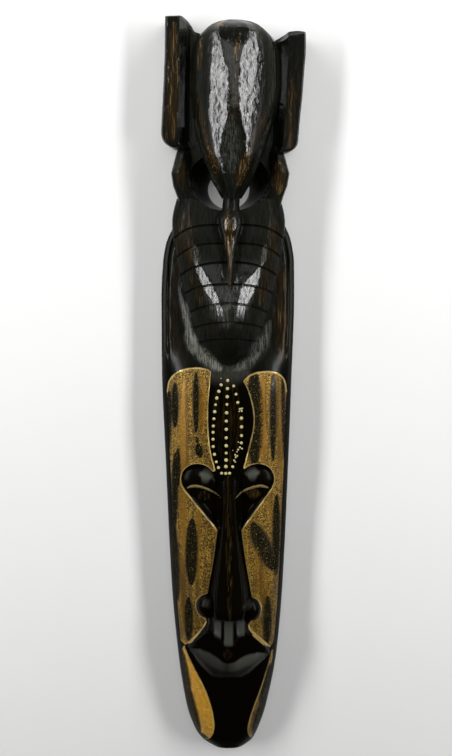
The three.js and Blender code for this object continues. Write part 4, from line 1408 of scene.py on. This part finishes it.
@dataclass(frozen=True)
class CarvedMask:
    """The whole mask: shapes its sub-assemblies, joins them and dresses the result.

    The bands are stations over which a value climbs, and for the hood falls again. Points count
    as resting below one height and as front above another, and far stands for any distance too
    long to matter.
    """

    shell: Shell = Shell()
    eyes: EyePair = EyePair()
    panels: Panels = Panels()
    nose: Nose = Nose()
    mouth: Mouth = Mouth()
    hood: Hood = Hood()
    bird: Bird = Bird()
    trough: Trough = Trough()
    marks: Marks = Marks()
    dots: Dots = Dots()
    gouges: Gouges = Gouges()
    chin_rows: tuple[float, ...] = (0, 0.8, 2, 3.6, 5.6, 8, 11, 14.5, 18.5, 23)
    rim_columns: tuple[float, ...] = (
        0.905, 0.914, 0.922, 0.93, 0.938, 0.946, 0.955, 0.964, 0.974, 0.984, 0.993, 1.0)
    smooth_angle: float = 24.0
    face_end: float = 570.0
    foot_band: tuple[float, float] = (556.0, 600.0)
    hood_band: tuple[float, ...] = (556.0, 566.0, 770.0, 778.0)
    top_start: float = 770.0
    wing_start: float = 826.0
    groove_start: float = 846.0
    rest_height: float = 0.4
    front_height: float = 27.0
    lid_rise: float = 0.8
    far: float = 30.0

    def stations(self) -> Array:
        """Lists the stations of the shell's rows, closest where the face is."""
        return np.concatenate([self.chin_rows, np.linspace(27, 118, 34), np.linspace(120, 556, 214),
                               np.linspace(559, 715, 60), np.linspace(718, 752, 18)])

    def shares(self) -> Array:
        """Lists the shares of the shell's columns from left to right, closest at the rim."""
        half = np.concatenate([np.linspace(0, 0.895, 44), self.rim_columns])
        return np.concatenate([-half[:0:-1], half])

    def face(self) -> bpy.types.Object:
        """Shapes the shell with the face on it.

        Returns:
            The joined face.
        """
        stations, shares = self.stations(), self.shares()
        base = self.shell.solid(stations, shares, eyes=self.eyes, hood_line=self.hood.outline())
        steps = [(Cut.JOIN, self.dots.solid(self.shell).to_object("dots"))]
        for side in Side:
            for k, prism in enumerate(self.panels.solids(side)):
                raised = self.shell.solid(stations, shares, rise=self.panels.rise).to_object("raised")
                steps.append((Cut.JOIN, Bench.work(prism.to_object(f"panel_{k}"), [(Cut.KEEP, raised)])))
            x, s = self.eyes.centre(side)
            top = float(self.shell.height(np.array(x), np.array(s))) - 0.3
            steps += [(Cut.JOIN, part) for part in self.eyes.lids(side, top)]
        steps.append((Cut.JOIN, self.nose.wedge().to_object("nose")))
        steps += [(Cut.JOIN, ball.to_object("nostril")) for ball in self.nose.nostrils()]
        steps += [(Cut.JOIN, lip.to_object("lip")) for lip in (self.mouth.upper(), self.mouth.lower())]
        return Bench.work(base.to_object("face"), steps)

    def block(self) -> bpy.types.Object:
        """Joins face, hood and bird, and hollows the back.

        Returns:
            The whole mask as one solid.
        """
        bird = self.bird
        steps = [(Cut.JOIN, self.hood.solid()), (Cut.JOIN, bird.bowl()), (Cut.CARVE, bird.bowl_hole())]
        steps += [(Cut.JOIN, bird.wing(form)) for form in (bird.left_wing, bird.right_wing)]
        steps += [(Cut.JOIN, bird.leg(side)) for side in Side]
        steps += [(Cut.JOIN, bird.body()), (Cut.JOIN, bird.neck()), (Cut.CARVE, self.trough.solid())]
        return Bench.work(self.face(), [(way, solid.to_object("tool")) for way, solid in steps])

    def shares_on(self, points: Array) -> tuple[Array, Array, Array]:
        """Gives how far each point is on the bird's body and on the hood, from 0 to 1.

        Args:
            points: Points in millimetres.

        Returns:
            Shares on the body, on its hewn front without the flanks, and on the hood.
        """
        x, s, z = points.T
        out, half = np.abs(x - Track(self.bird.mid)(s)), Track(self.bird.half)(s)
        body = (1 - smooth(0.93, 1.0, out / (half + 4))) * smooth(776, 790, s) * (z > 40)
        front = body * (1 - 0.7 * smooth(0.55, 0.85, out / half))
        out, half = np.abs(x - self.hood.mid_x), np.maximum(1, Track(self.hood.half)(s))
        hood = (1 - smooth(0.96, 1.02, out / half)) * between(*self.hood_band, s) * (z > 38)
        return body, front, hood

    @staticmethod
    def read(mesh: bpy.types.Mesh, name: str) -> Array:
        """Reads the places or the normals of a mesh's points.

        Args:
            mesh: The mesh.
            name: What to read, "co" or "normal".

        Returns:
            One row for each point.
        """
        data = np.empty(len(mesh.vertices) * 3)
        mesh.vertices.foreach_get(name, data)
        return data.reshape(-1, 3)

    def hew(self, mesh: bpy.types.Mesh, gold: Array, lid: Array) -> None:
        """Cuts the gouge marks into the surface.

        Args:
            mesh: The joined mesh in millimetres.
            gold: How deep each point lies inside the painted panels.
            lid: How far each point is outside the painted line of an upper lid.
        """
        points, normals = self.read(mesh, "co"), self.read(mesh, "normal")
        x, s, z = points.T
        body, front, hood = self.shares_on(points)
        upper = smooth(*self.foot_band, s) * (1 - body) * (1 - hood) * (z > 12)
        painted = smooth(-1.0, 2.0, gold)
        face = (1 - smooth(540, 600, s)) * (1 - painted) * (z > 12)
        back = (z < 30) * (normals[:, 2] < -0.3) * (z > self.rest_height)
        wings = upper * (s > self.wing_start)
        parts = ((front, self.gouges.body), (hood, self.gouges.hood),
                 (upper * (1 - wings), self.gouges.flanks), (wings, self.gouges.wings),
                 (face, self.gouges.face), (painted, self.gouges.panels), (back, self.gouges.back))
        lift = np.zeros(len(points))
        for share, gouges in parts:
            lift += share * Gouges.together(gouges, x, s)
        lift += face * self.lid_rise * (1 - smooth(-1.6, 0.7, lid))
        lift *= np.where(z < self.rest_height, 0, 1)
        points += normals * lift[:, None]
        points[:, 2] = np.maximum(points[:, 2], 0)
        mesh.vertices.foreach_set("co", points.ravel())

    def measure(self, mesh: bpy.types.Mesh) -> dict[str, Array]:
        """Measures where each point lies against the painted outlines.

        Args:
            mesh: The joined mesh in millimetres.

        Returns:
            Named values, one for each point.
        """
        points, normals = self.read(mesh, "co"), self.read(mesh, "normal")
        flat, s, count = points[:, :2], points[:, 1], len(points)
        front = points[:, 2] > self.front_height
        face = front & (s < self.face_end)
        values = {"arris": np.full(count, self.far), "lid": np.full(count, self.far),
                  "gold": np.full(count, -self.far), "dot": np.full(count, -self.far)}
        for side in Side:
            for outline in (self.panels.outline(side), self.panels.leaf(side)):
                deep = inside_distance(flat[face], outline)
                values["gold"][face] = np.maximum(values["gold"][face], deep)
            for line in (self.panels.bright_edge(side), self.panels.leaf_edge(side)):
                away = line_distance(flat[face], line)
                values["arris"][face] = np.minimum(values["arris"][face], away)
            away = self.eyes.line_depth(side, flat[face])
            values["lid"][face] = np.minimum(values["lid"][face], away)
        for x, along, size in self.dots.places():
            reach = size + 0.02 - np.hypot(flat[face, 0] - x, flat[face, 1] - along)
            values["dot"][face] = np.maximum(values["dot"][face], reach)
        _, body_front, hood = self.shares_on(points)
        values["hewn"] = 0.12 + 0.24 * smooth(*self.foot_band, s) + 0.26 * hood + 0.64 * body_front
        rubbed = Marks.cover(self.marks.rubbed, flat)
        values["rubbed"] = np.where(front | (s > self.top_start), rubbed, 0.1)
        for name, blobs in (("soot", self.marks.soot), ("smooth_gold", self.marks.smooth_gold)):
            values[name] = np.where(front, Marks.cover(blobs, flat), 0)
        values["dull"] = self.dullness(points)
        # Painted sheen, kept to faces that look up.
        values["wear_and_sheen"] = self.painted_sheen(points, values["dull"]) * smooth(0.15, 0.5, normals[:, 2])
        return values

    def painted_sheen(self, points: Array, dull: Array) -> Array:
        """Gives the painted sheen: painted highlights, and a faint painted lift in dull places.

        Args:
            points: Points in millimetres.
            dull: How dull the lacquer is at each point.

        Returns:
            One share for each point.
        """
        x, s, z = points.T
        front = z > self.front_height
        wear_and_sheen = np.where(front, Marks.cover(self.marks.wear_and_sheen, points[:, :2]), 0)
        mouth = self.mouth.painted_sheen(points[:, :2])
        wear_and_sheen = np.maximum(wear_and_sheen, np.where(front & (s < self.face_end), mouth, 0))
        groove = (s > self.groove_start) & (np.abs(x - 5) > 44)
        # Adds a faint painted lift in dull places, stronger in the grooves beside the body.
        return wear_and_sheen + np.where(groove, 0.06, 0.02) * dull * (smooth(560, 620, s) * (z > 1))

    def dullness(self, points: Array) -> Array:
        """Gives how dull the lacquer is, from 0 on the polished facets to 1.

        Args:
            points: Points in millimetres.

        Returns:
            One share for each point.
        """
        x, s, z = points.T
        body, _, hood = self.shares_on(points)
        flank = smooth(0.6, 0.76, np.abs(x - Track(self.bird.mid)(s)) / Track(self.bird.half)(s))
        lines = [Track(table)(s) for table in self.hood.facets]
        bright = 0.85 * np.maximum(*(between(low - 2, low + 1, high - 1, high + 2, x)
                                     for low, high in (lines[:2], lines[2:])))
        middle = 0.45 * between(lines[1] - 2, lines[1], lines[2], lines[2] + 2, x)
        upper = smooth(676, 700, s) + 1 - smooth(616, 638, s)
        on_hood = np.maximum(1 - np.maximum(bright, middle), np.minimum(upper, 1))
        on_wing = (np.abs(x - 5) > 40) * 0.9 * (1 - smooth(39, 44.5, z))
        around = np.where(s > 838, on_wing, 0.92)
        share = body * flank + (1 - body) * (hood * on_hood + (1 - hood) * around)
        reach = Track(self.bird.neck_half)(s)
        head = (np.abs(x - Track(self.bird.neck_x)(s)) < reach + 0.5) & (s > 659) & (s < 806) & (z > 30)
        beak = np.interp(s, (690, 716, 727, 744, 752), (0.85, 0.6, 0.25, 0.3, 0.95))
        return np.where(head, beak, share)

    def build(self) -> bpy.types.Object:
        """Builds the finished piece in metres, in the frame of the CAD part.

        Returns:
            The mask, with its paint values and material.
        """
        mask = self.block()
        mask.name = "mask"
        mesh = mask.data
        mesh.name = "mask"
        values = self.measure(mesh)
        self.hew(mesh, values["gold"], values["lid"])
        for name, data in values.items():
            layer = mesh.attributes.new(name, "FLOAT", "POINT")
            layer.data.foreach_set("value", data.astype(np.float32))
        points = (self.read(mesh, "co") - np.array([MID_SHIFT, HALF_LENGTH, 0.0])) / 1000
        low, high = (np.array(corner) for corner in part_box(NODE))
        mesh.vertices.foreach_set("co", np.clip(points, low, high).ravel())
        mesh.polygons.foreach_set("use_smooth", np.ones(len(mesh.polygons), bool))
        mesh.set_sharp_from_angle(angle=math.radians(self.smooth_angle))
        mesh.update()
        mesh.materials.clear()
        mesh.materials.append(MaskFinish().material())
        return mask


class Value:
    """One number in a shader, used in plain arithmetic."""

    def __init__(self, bench: "ShaderBench", socket: Socket) -> None:
        """Wraps a socket of a shader."""
        self.bench = bench
        self.socket = socket

    def __add__(self, other: Union["Value", float]) -> "Value":
        """Adds."""
        return self.bench.maths("ADD", self, other)

    def __radd__(self, other: float) -> "Value":
        """Adds to a plain number."""
        return self.bench.maths("ADD", other, self)

    def __sub__(self, other: Union["Value", float]) -> "Value":
        """Takes away."""
        return self.bench.maths("SUBTRACT", self, other)

    def __rsub__(self, other: float) -> "Value":
        """Takes away from a plain number."""
        return self.bench.maths("SUBTRACT", other, self)

    def __mul__(self, other: Union["Value", float]) -> "Value":
        """Multiplies."""
        return self.bench.maths("MULTIPLY", self, other)

    def __rmul__(self, other: float) -> "Value":
        """Multiplies a plain number."""
        return self.bench.maths("MULTIPLY", other, self)


Link = Union[Value, Socket, float, Sequence[float]]


class ShaderBench:
    """Builds the node tree of one material or of the surrounding light."""

    def __init__(self, owner: Union[bpy.types.Material, bpy.types.World]) -> None:
        """Clears the node tree of a material or a world.

        Args:
            owner: The material or world.
        """
        owner.use_nodes = True
        self.tree = owner.node_tree
        self.nodes = self.tree.nodes
        self.nodes.clear()

    def node(self, kind: str, settings: Optional[dict[str, object]] = None,
             sockets: Optional[dict[Union[str, int], Link]] = None) -> bpy.types.Node:
        """Adds a node.

        Args:
            kind: The node's type.
            settings: Settings, such as an operation, set first.
            sockets: Values or links of its inputs, by name or number.

        Returns:
            The new node.
        """
        node = self.nodes.new(kind)
        for key, value in (settings or {}).items():
            setattr(node, key, value)
        for key, value in (sockets or {}).items():
            target = node.inputs[key]
            if isinstance(value, Value):
                self.tree.links.new(value.socket, target)
            elif isinstance(value, Socket):
                self.tree.links.new(value, target)
            else:
                target.default_value = value
        return node

    def maths(self, operation: str, a: Union[Value, float], b: Union[Value, float] = 0.0) -> Value:
        """Adds a Math node and gives its result."""
        return Value(self, self.node("ShaderNodeMath", {"operation": operation}, {0: a, 1: b}).outputs[0])

    def step(self, value: Value, low: float, high: float) -> Value:
        """Climbs softly from 0 at low to 1 at high.

        Args:
            value: The number to read.
            low: The number that gives 0.
            high: The number that gives 1, which may also be the smaller one.

        Returns:
            The share from 0 to 1.
        """
        node = self.node("ShaderNodeMapRange", {"interpolation_type": "SMOOTHSTEP"}, {
            "Value": value, "From Min": low, "From Max": high})
        return Value(self, node.outputs[0])

    def mix(self, share: Value, a: Link, b: Link) -> Socket:
        """Mixes two colours by a share."""
        node = self.node("ShaderNodeMix", {"data_type": "RGBA"}, {0: share, 6: a, 7: b})
        return node.outputs[2]

    def attribute(self, name: str) -> Value:
        """Reads a value stored on the mesh."""
        node = self.node("ShaderNodeAttribute", {"attribute_type": "GEOMETRY", "attribute_name": name})
        return Value(self, node.outputs["Fac"])

    def place(self, stretch: Sequence[float]) -> Socket:
        """Gives the place on the object in millimetres, stretched along each axis.

        Args:
            stretch: What each axis is multiplied by.

        Returns:
            The place.
        """
        place = self.node("ShaderNodeTexCoord").outputs["Object"]
        scaled = [1000.0 * f for f in stretch]
        node = self.node("ShaderNodeVectorMath", {"operation": "MULTIPLY"}, {0: place, 1: scaled})
        return node.outputs[0]

    def noise(self, place: Socket, scale: float, detail: float = 3.0, rough: float = 0.5,
              distortion: float = 0.0) -> Value:
        """Adds soft noise.

        Args:
            place: Where it is read.
            scale: Features for each unit of place.
            detail: Number of finer layers.
            rough: Strength of the finer layers.
            distortion: How much it swirls.

        Returns:
            Numbers from 0 to 1, mostly near a half.
        """
        node = self.node("ShaderNodeTexNoise", {}, {
            "Vector": place, "Scale": scale, "Detail": detail, "Roughness": rough, "Distortion": distortion})
        return Value(self, node.outputs[0])

    def cells(self, place: Socket, scale: float) -> Value:
        """Adds a cell pattern and gives the distance to the nearest cell middle."""
        node = self.node("ShaderNodeTexVoronoi", {}, {"Vector": place, "Scale": scale})
        return Value(self, node.outputs[0])


@dataclass(frozen=True)
class Grain:
    """Patterns laid over the mask and shared by the colours of its material.

    Worm and fleck are coarse and fine speckles, flute marks smooth gold and soot marks black
    places on it. Specks place painted glints on the gold and let flecks of it through the soot.
    The wobble makes painted edges uneven.
    """

    plain: Socket
    fibre: Value
    streak: Value
    patch: Value
    worm: Value
    fleck: Value
    stipple: Value
    specks: Value
    wobble: Value
    flute: Value
    soot: Value
    face: Value
    left_leaf: Value

    @classmethod
    def lay(cls, bench: ShaderBench) -> "Grain":
        """Lays the patterns in a shader.

        Args:
            bench: The shader being built.

        Returns:
            The patterns.
        """
        plain = bench.place((1, 1, 1))
        split = bench.node("ShaderNodeSeparateXYZ", {}, {0: plain})
        across, along = Value(bench, split.outputs[0]), Value(bench, split.outputs[1])
        worm = bench.noise(plain, 0.34, 3.0, 0.62, 1.6)
        fleck = bench.noise(plain, 0.85, 2.0, 0.6, 0.8)
        # Specks place painted glints on the gold and flecks of it in the soot.
        specks = bench.step(fleck * 0.7 + worm * 0.3, 0.61, 0.66)
        soot = bench.attribute("soot") + (worm - 0.5) * 2.0 + (fleck - 0.5) * 1.2
        return cls(
            plain=plain,
            fibre=bench.noise(bench.place((1, 0.035, 0.6)), 0.75, 5.0, 0.62),
            streak=bench.noise(bench.place((1, 0.09, 0.7)), 0.34, 5.0, 0.68, 0.4),
            patch=bench.noise(plain, 0.035, 2.0),
            worm=worm,
            fleck=fleck,
            stipple=bench.step(worm * 0.5 + fleck * 0.5, 0.475, 0.575),
            specks=specks,
            wobble=(bench.noise(plain, 0.16, 2.0) - 0.5) * 1.4,
            flute=bench.attribute("smooth_gold"),
            soot=bench.step(soot, 0.24, 0.44) * (1 - specks * 0.5),
            face=bench.step(along, 75.0, 25.0),
            # The left leaf is marked so that its gold can be painted lighter, as painted light on the leaf
            # that faces the lamps.
            left_leaf=bench.step(along, -325.0, -350.0) * bench.step(across, 0.0, -20.0))


@dataclass(frozen=True)
class MaskFinish:
    """Black-stained varnished wood with brown rubbed streaks, gold panels and rows of dots."""

    black: Colour = (0.0042, 0.0047, 0.003, 1)
    face_black: Colour = (0.0016, 0.0012, 0.0004, 1)
    warm_black: Colour = (0.0075, 0.0058, 0.0028, 1)
    brown: Colour = (0.0175, 0.0102, 0.0032, 1)
    amber: Colour = (0.155, 0.1, 0.036, 1)
    soot: Colour = (0.0036, 0.0046, 0.0024, 1)
    gold_dark: Colour = (0.007, 0.0036, 0.0005, 1)
    gold_light: Colour = (0.62, 0.355, 0.033, 1)
    gold_smooth: Colour = (0.2, 0.092, 0.004, 1)
    gold_dim: Colour = (0.05, 0.026, 0.002, 1)
    # Painted light: lighter gold for the left leaf, as if lit.
    lit_leaf_gold: Colour = (1.0, 0.52, 0.055, 1)
    # Colour of the painted glints on the gold.
    painted_glint: Colour = (0.95, 0.72, 0.26, 1)
    pale_gold: Colour = (0.58, 0.42, 0.15, 1)
    lid_gold: Colour = (0.22, 0.165, 0.064, 1)
    dot: Colour = (0.55, 0.49, 0.24, 1)
    # Colour of the painted highlights.
    sheen_grey: Colour = (0.15, 0.15, 0.128, 1)
    polish: float = 0.08
    metal: float = 0.55
    coat: float = 0.25
    coat_rough: float = 0.1
    dull_rough: float = 0.26
    dull_shine: float = 0.045
    bump: float = 0.6
    bump_depth: float = 0.0009

    def wood(self, bench: ShaderBench, grain: Grain) -> Socket:
        """Colours the stained wood, rubbed brown along the grain, with painted highlights laid in places.

        Args:
            bench: The shader being built.
            grain: The patterns laid over the mask.

        Returns:
            The colour.
        """
        rubbed = bench.attribute("rubbed")
        warm = bench.step(grain.fibre * 0.6 + grain.patch * 0.4 + rubbed * 0.25, 0.45, 0.85)
        tint = bench.mix(grain.face, bench.mix(warm, self.black, self.warm_black), self.face_black)
        brown = bench.step(grain.streak + rubbed * 0.36 + grain.patch * 0.12, 0.64, 0.9)
        tint = bench.mix(brown * bench.step(rubbed, 0.02, 0.35), tint, self.brown)
        amber = bench.step(grain.fibre + rubbed * 0.15 + grain.streak * 0.35, 0.83, 0.93)
        tint = bench.mix(amber * bench.step(rubbed, 0.3, 0.8) * 0.85, tint, self.amber)
        strokes = bench.step(grain.fibre * 0.7 + grain.worm * 0.3, 0.44, 0.58) * 1.4 + 0.12
        strokes = strokes * (1 - grain.face) + grain.face
        # Painted sheen: pale strokes laid where the lacquer would catch light.
        wear_and_sheen = bench.maths("MINIMUM", bench.attribute("wear_and_sheen") * strokes, 1.0)
        return bench.mix(wear_and_sheen, tint, self.sheen_grey)

    def gold(self, bench: ShaderBench, grain: Grain) -> Socket:
        """Colours the painted panels: stippled gold with smooth flutes and soot, a painted light on the left
        leaf and painted glints.

        Args:
            bench: The shader being built.
            grain: The patterns laid over the mask.

        Returns:
            The colour.
        """
        gold = bench.mix(grain.stipple, self.gold_dark, self.gold_light)
        gold = bench.mix(grain.flute * (0.95 - grain.stipple * 0.4), gold, self.gold_smooth)
        cloud = bench.step(bench.noise(bench.place((0.16, 0.014, 0.1)), 1.0, 2.0), 0.44, 0.64)
        gold = bench.mix(cloud * 0.6, gold, self.gold_dim)
        # Painted light: the left leaf is painted lighter gold, as if lit.
        gold = bench.mix(grain.left_leaf * (grain.stipple * 0.55 + 0.35), gold, self.lit_leaf_gold)
        gold = bench.mix(grain.soot * 0.98, gold, self.soot)
        clear = (1 - grain.soot * 0.6) * (1 - grain.flute * 0.6)
        # Painted glints: bright specks laid on the gold where light would catch its stipple.
        return bench.mix(grain.specks * clear * 0.6, gold, self.painted_glint)

    def lines(self, bench: ShaderBench, grain: Grain, colour: Socket) -> tuple[Socket, Value]:
        """Draws the pale line round the panels, the lids' lines and the dots over a colour.

        Args:
            bench: The shader being built.
            grain: The patterns laid over the mask.
            colour: The colour below them.

        Returns:
            The new colour and the share of the pale line.
        """
        # Patches where the pale line wears thin.
        wear_and_sheen = bench.step(bench.noise(grain.plain, 0.05, 3.0), 0.36, 0.56) * 0.65 + 0.35
        line = bench.step(bench.attribute("arris") + grain.wobble * 0.8, 1.1, 0.3)
        line = bench.maths("MINIMUM", line * wear_and_sheen * (0.45 + grain.fleck * 0.95), 1.0)
        colour = bench.mix(line, colour, self.pale_gold)
        lid = bench.step(bench.attribute("lid") + grain.wobble * 0.7, 0.2, -0.7)
        colour = bench.mix(lid * bench.step(grain.worm, 0.3, 0.5) * 0.85, colour, self.lid_gold)
        dots = bench.step(bench.attribute("dot") + (grain.fleck - 0.5) * 0.25, 0.05, 0.3)
        return bench.mix(dots * (0.62 + grain.worm * 0.5), colour, self.dot), line

    def relief(self, bench: ShaderBench, grain: Grain, painted: Value, paint: Value) -> Socket:
        """Raises grain, tool marks and stippled paint as a fine bump.

        Args:
            bench: The shader being built.
            grain: The patterns laid over the mask.
            painted: The share of the panels and leaves.
            paint: The share of them that isn't black with soot.

        Returns:
            The bumped normal.
        """
        foil = bench.cells(bench.place((1, 0.5, 1)), 0.24)
        foil = foil + bench.cells(bench.place((1, 0.62, 1)), 0.62) * 0.4
        gouged = bench.noise(bench.place((1, 0.4, 1)), 0.2, 4.0, 0.6, 0.4)
        figured = (foil * 0.5 + gouged * 1.6) * bench.attribute("hewn") + grain.fibre * 0.1
        grainy = (grain.worm * 1.3 + grain.fleck * 0.65) * (1 - grain.flute * 0.7)
        return bench.node("ShaderNodeBump", {}, {
            "Strength": self.bump, "Distance": self.bump_depth,
            "Height": figured * (1 - painted) + paint * grainy}).outputs[0]

    def material(self) -> bpy.types.Material:
        """Builds the material: polished varnish, and a plainer coat where it has gone dull.

        Returns:
            The finished material.
        """
        material = bpy.data.materials.new(SLOT)
        bench = ShaderBench(material)
        grain = Grain.lay(bench)
        painted = bench.step(bench.attribute("gold") + grain.wobble * 0.4, -0.35, 0.25)
        colour = bench.mix(painted, self.wood(bench, grain), self.gold(bench, grain))
        colour, line = self.lines(bench, grain, colour)
        paint = painted * (1 - grain.soot * 0.95)
        normal = self.relief(bench, grain, painted, paint)
        bright = bench.maths("MAXIMUM", paint, line)
        rough = self.polish + grain.patch * 0.05 + grain.fibre * 0.06 + paint * (0.16 + grain.stipple * 0.05)
        varnish = bench.node("ShaderNodeBsdfPrincipled", {}, {
            "Base Color": colour, "Roughness": rough, "Normal": normal,
            "Metallic": bright * self.metal * (1 - grain.left_leaf * 0.6),
            "Coat Weight": (1 - painted) * self.coat, "Coat Roughness": self.coat_rough})
        plain = bench.node("ShaderNodeBsdfPrincipled", {}, {
            "Base Color": colour, "Roughness": self.dull_rough, "Normal": normal,
            "Specular IOR Level": self.dull_shine})
        dull = bench.maths("MAXIMUM", bench.attribute("dull"), grain.face) * (1 - bright)
        both = bench.node("ShaderNodeMixShader", {}, {
            0: dull, 1: varnish.outputs[0], 2: plain.outputs[0]})
        bench.node("ShaderNodeOutputMaterial", {}, {0: both.outputs[0]})
        return material


@dataclass(frozen=True)
class Lamp:
    """One soft light: its place, the point it is turned to, its length and width, and its watts."""

    name: str
    place: Spot
    aim: Spot
    size: tuple[float, float]
    power: float

    def hang(self) -> None:
        """Hangs the light, with its length held level."""
        data = bpy.data.lights.new(self.name, "AREA")
        data.shape = "RECTANGLE"
        data.size, data.size_y = self.size
        data.energy = self.power
        lamp = bpy.data.objects.new(self.name, data)
        lamp.location = self.place
        lamp.rotation_euler = (Vector(self.aim) - Vector(self.place)).to_track_quat("-Z", "Y").to_euler()
        bpy.context.scene.collection.objects.link(lamp)


@dataclass(frozen=True)
class Studio:
    """Pale floor, soft lights and the camera."""

    floor_size: float = 9.0
    floor_light: Colour = (0.79, 0.79, 0.785, 1)
    floor_dark: Colour = (0.76, 0.76, 0.755, 1)
    camera_place: Spot = (-0.0075, 0.259, 1.36)
    camera_lean: float = 9.51
    sensor: float = 36.0
    lens: float = 36.0 * 1000 / 756
    sky: Colour = (0.36, 0.3636, 0.3708, 1)
    night: Colour = (0.012, 0.012, 0.012, 1)
    lamps: tuple[Lamp, ...] = (
        Lamp("left_window", (-1.63, 1.525, 1.37), (0, 1.525, 0.05), (3.65, 0.36), 73),
        Lamp("right_window", (1.63, 1.525, 1.37), (0, 1.525, 0.05), (3.65, 0.36), 73),
        Lamp("overhead", (0, 1.45, 2.2), (0, 0.8, 0), (1.25, 2.0), 9.5))

    def floor(self) -> bpy.types.Object:
        """Lays the floor.

        Returns:
            The floor.
        """
        half = self.floor_size / 2
        mesh = bpy.data.meshes.new("floor")
        corners = [(-half, -half, 0), (half, -half, 0), (half, half, 0), (-half, half, 0)]
        mesh.from_pydata(corners, [], [(0, 1, 2, 3)])
        floor = bpy.data.objects.new("floor", mesh)
        bpy.context.scene.collection.objects.link(floor)
        material = bpy.data.materials.new("floor")
        bench = ShaderBench(material)
        tone = bench.mix(bench.noise(bench.place((1, 1, 1)), 0.004, 2.0), self.floor_dark, self.floor_light)
        shader = bench.node("ShaderNodeBsdfPrincipled", {}, {"Base Color": tone, "Roughness": 0.75})
        bench.node("ShaderNodeOutputMaterial", {}, {0: shader.outputs[0]})
        mesh.materials.append(material)
        return floor

    def lights(self) -> None:
        """Hangs the lamps and sets a soft surrounding light that is dark overhead."""
        for lamp in self.lamps:
            lamp.hang()
        world = bpy.data.worlds.new("studio")
        bench = ShaderBench(world)
        place = bench.node("ShaderNodeTexCoord").outputs["Generated"]
        split = bench.node("ShaderNodeSeparateXYZ", {}, {0: place})
        low = bench.step(Value(bench, split.outputs[2]), 0.32, 0.04)
        ahead = bench.step(Value(bench, split.outputs[1]), -0.7, 0.3) * 0.8 + 0.2
        back = bench.node("ShaderNodeBackground", {}, {0: bench.mix(low * ahead, self.night, self.sky)})
        bench.node("ShaderNodeOutputWorld", {}, {0: back.outputs[0]})
        bpy.context.scene.world = world
        bpy.context.scene.view_settings.view_transform = "Standard"

    def camera(self) -> bpy.types.Object:
        """Sets the camera over the mask, at the photograph's angle.

        Returns:
            The camera.
        """
        data = bpy.data.cameras.new("camera")
        data.sensor_width = self.sensor
        data.lens = self.lens
        camera = bpy.data.objects.new("camera", data)
        lean = math.radians(self.camera_lean)
        forward = Vector((0, -math.sin(lean), -math.cos(lean)))
        up = Vector((0, math.cos(lean), -math.sin(lean)))
        turn = Matrix((forward.cross(up), up, -forward)).transposed()
        camera.location = self.camera_place
        camera.rotation_euler = turn.to_euler()
        bpy.context.scene.collection.objects.link(camera)
        bpy.context.scene.camera = camera
        return camera


def main() -> None:
    """Builds the studio and the mask, and reports each piece."""
    logging.basicConfig(level=logging.INFO, format="%(name)s: %(message)s")
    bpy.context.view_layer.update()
    studio = Studio()
    studio.camera()
    studio.lights()
    studio.floor()
    LOG.info("studio ready")
    mask = CarvedMask().build()
    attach(mask, "root")
    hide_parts(NODE)
    triangles = sum(len(p.vertices) - 2 for p in mask.data.polygons)
    LOG.info("%s: %d points, %d triangles", mask.name, len(mask.data.vertices), triangles)


if __name__ == "__main__":
    main()
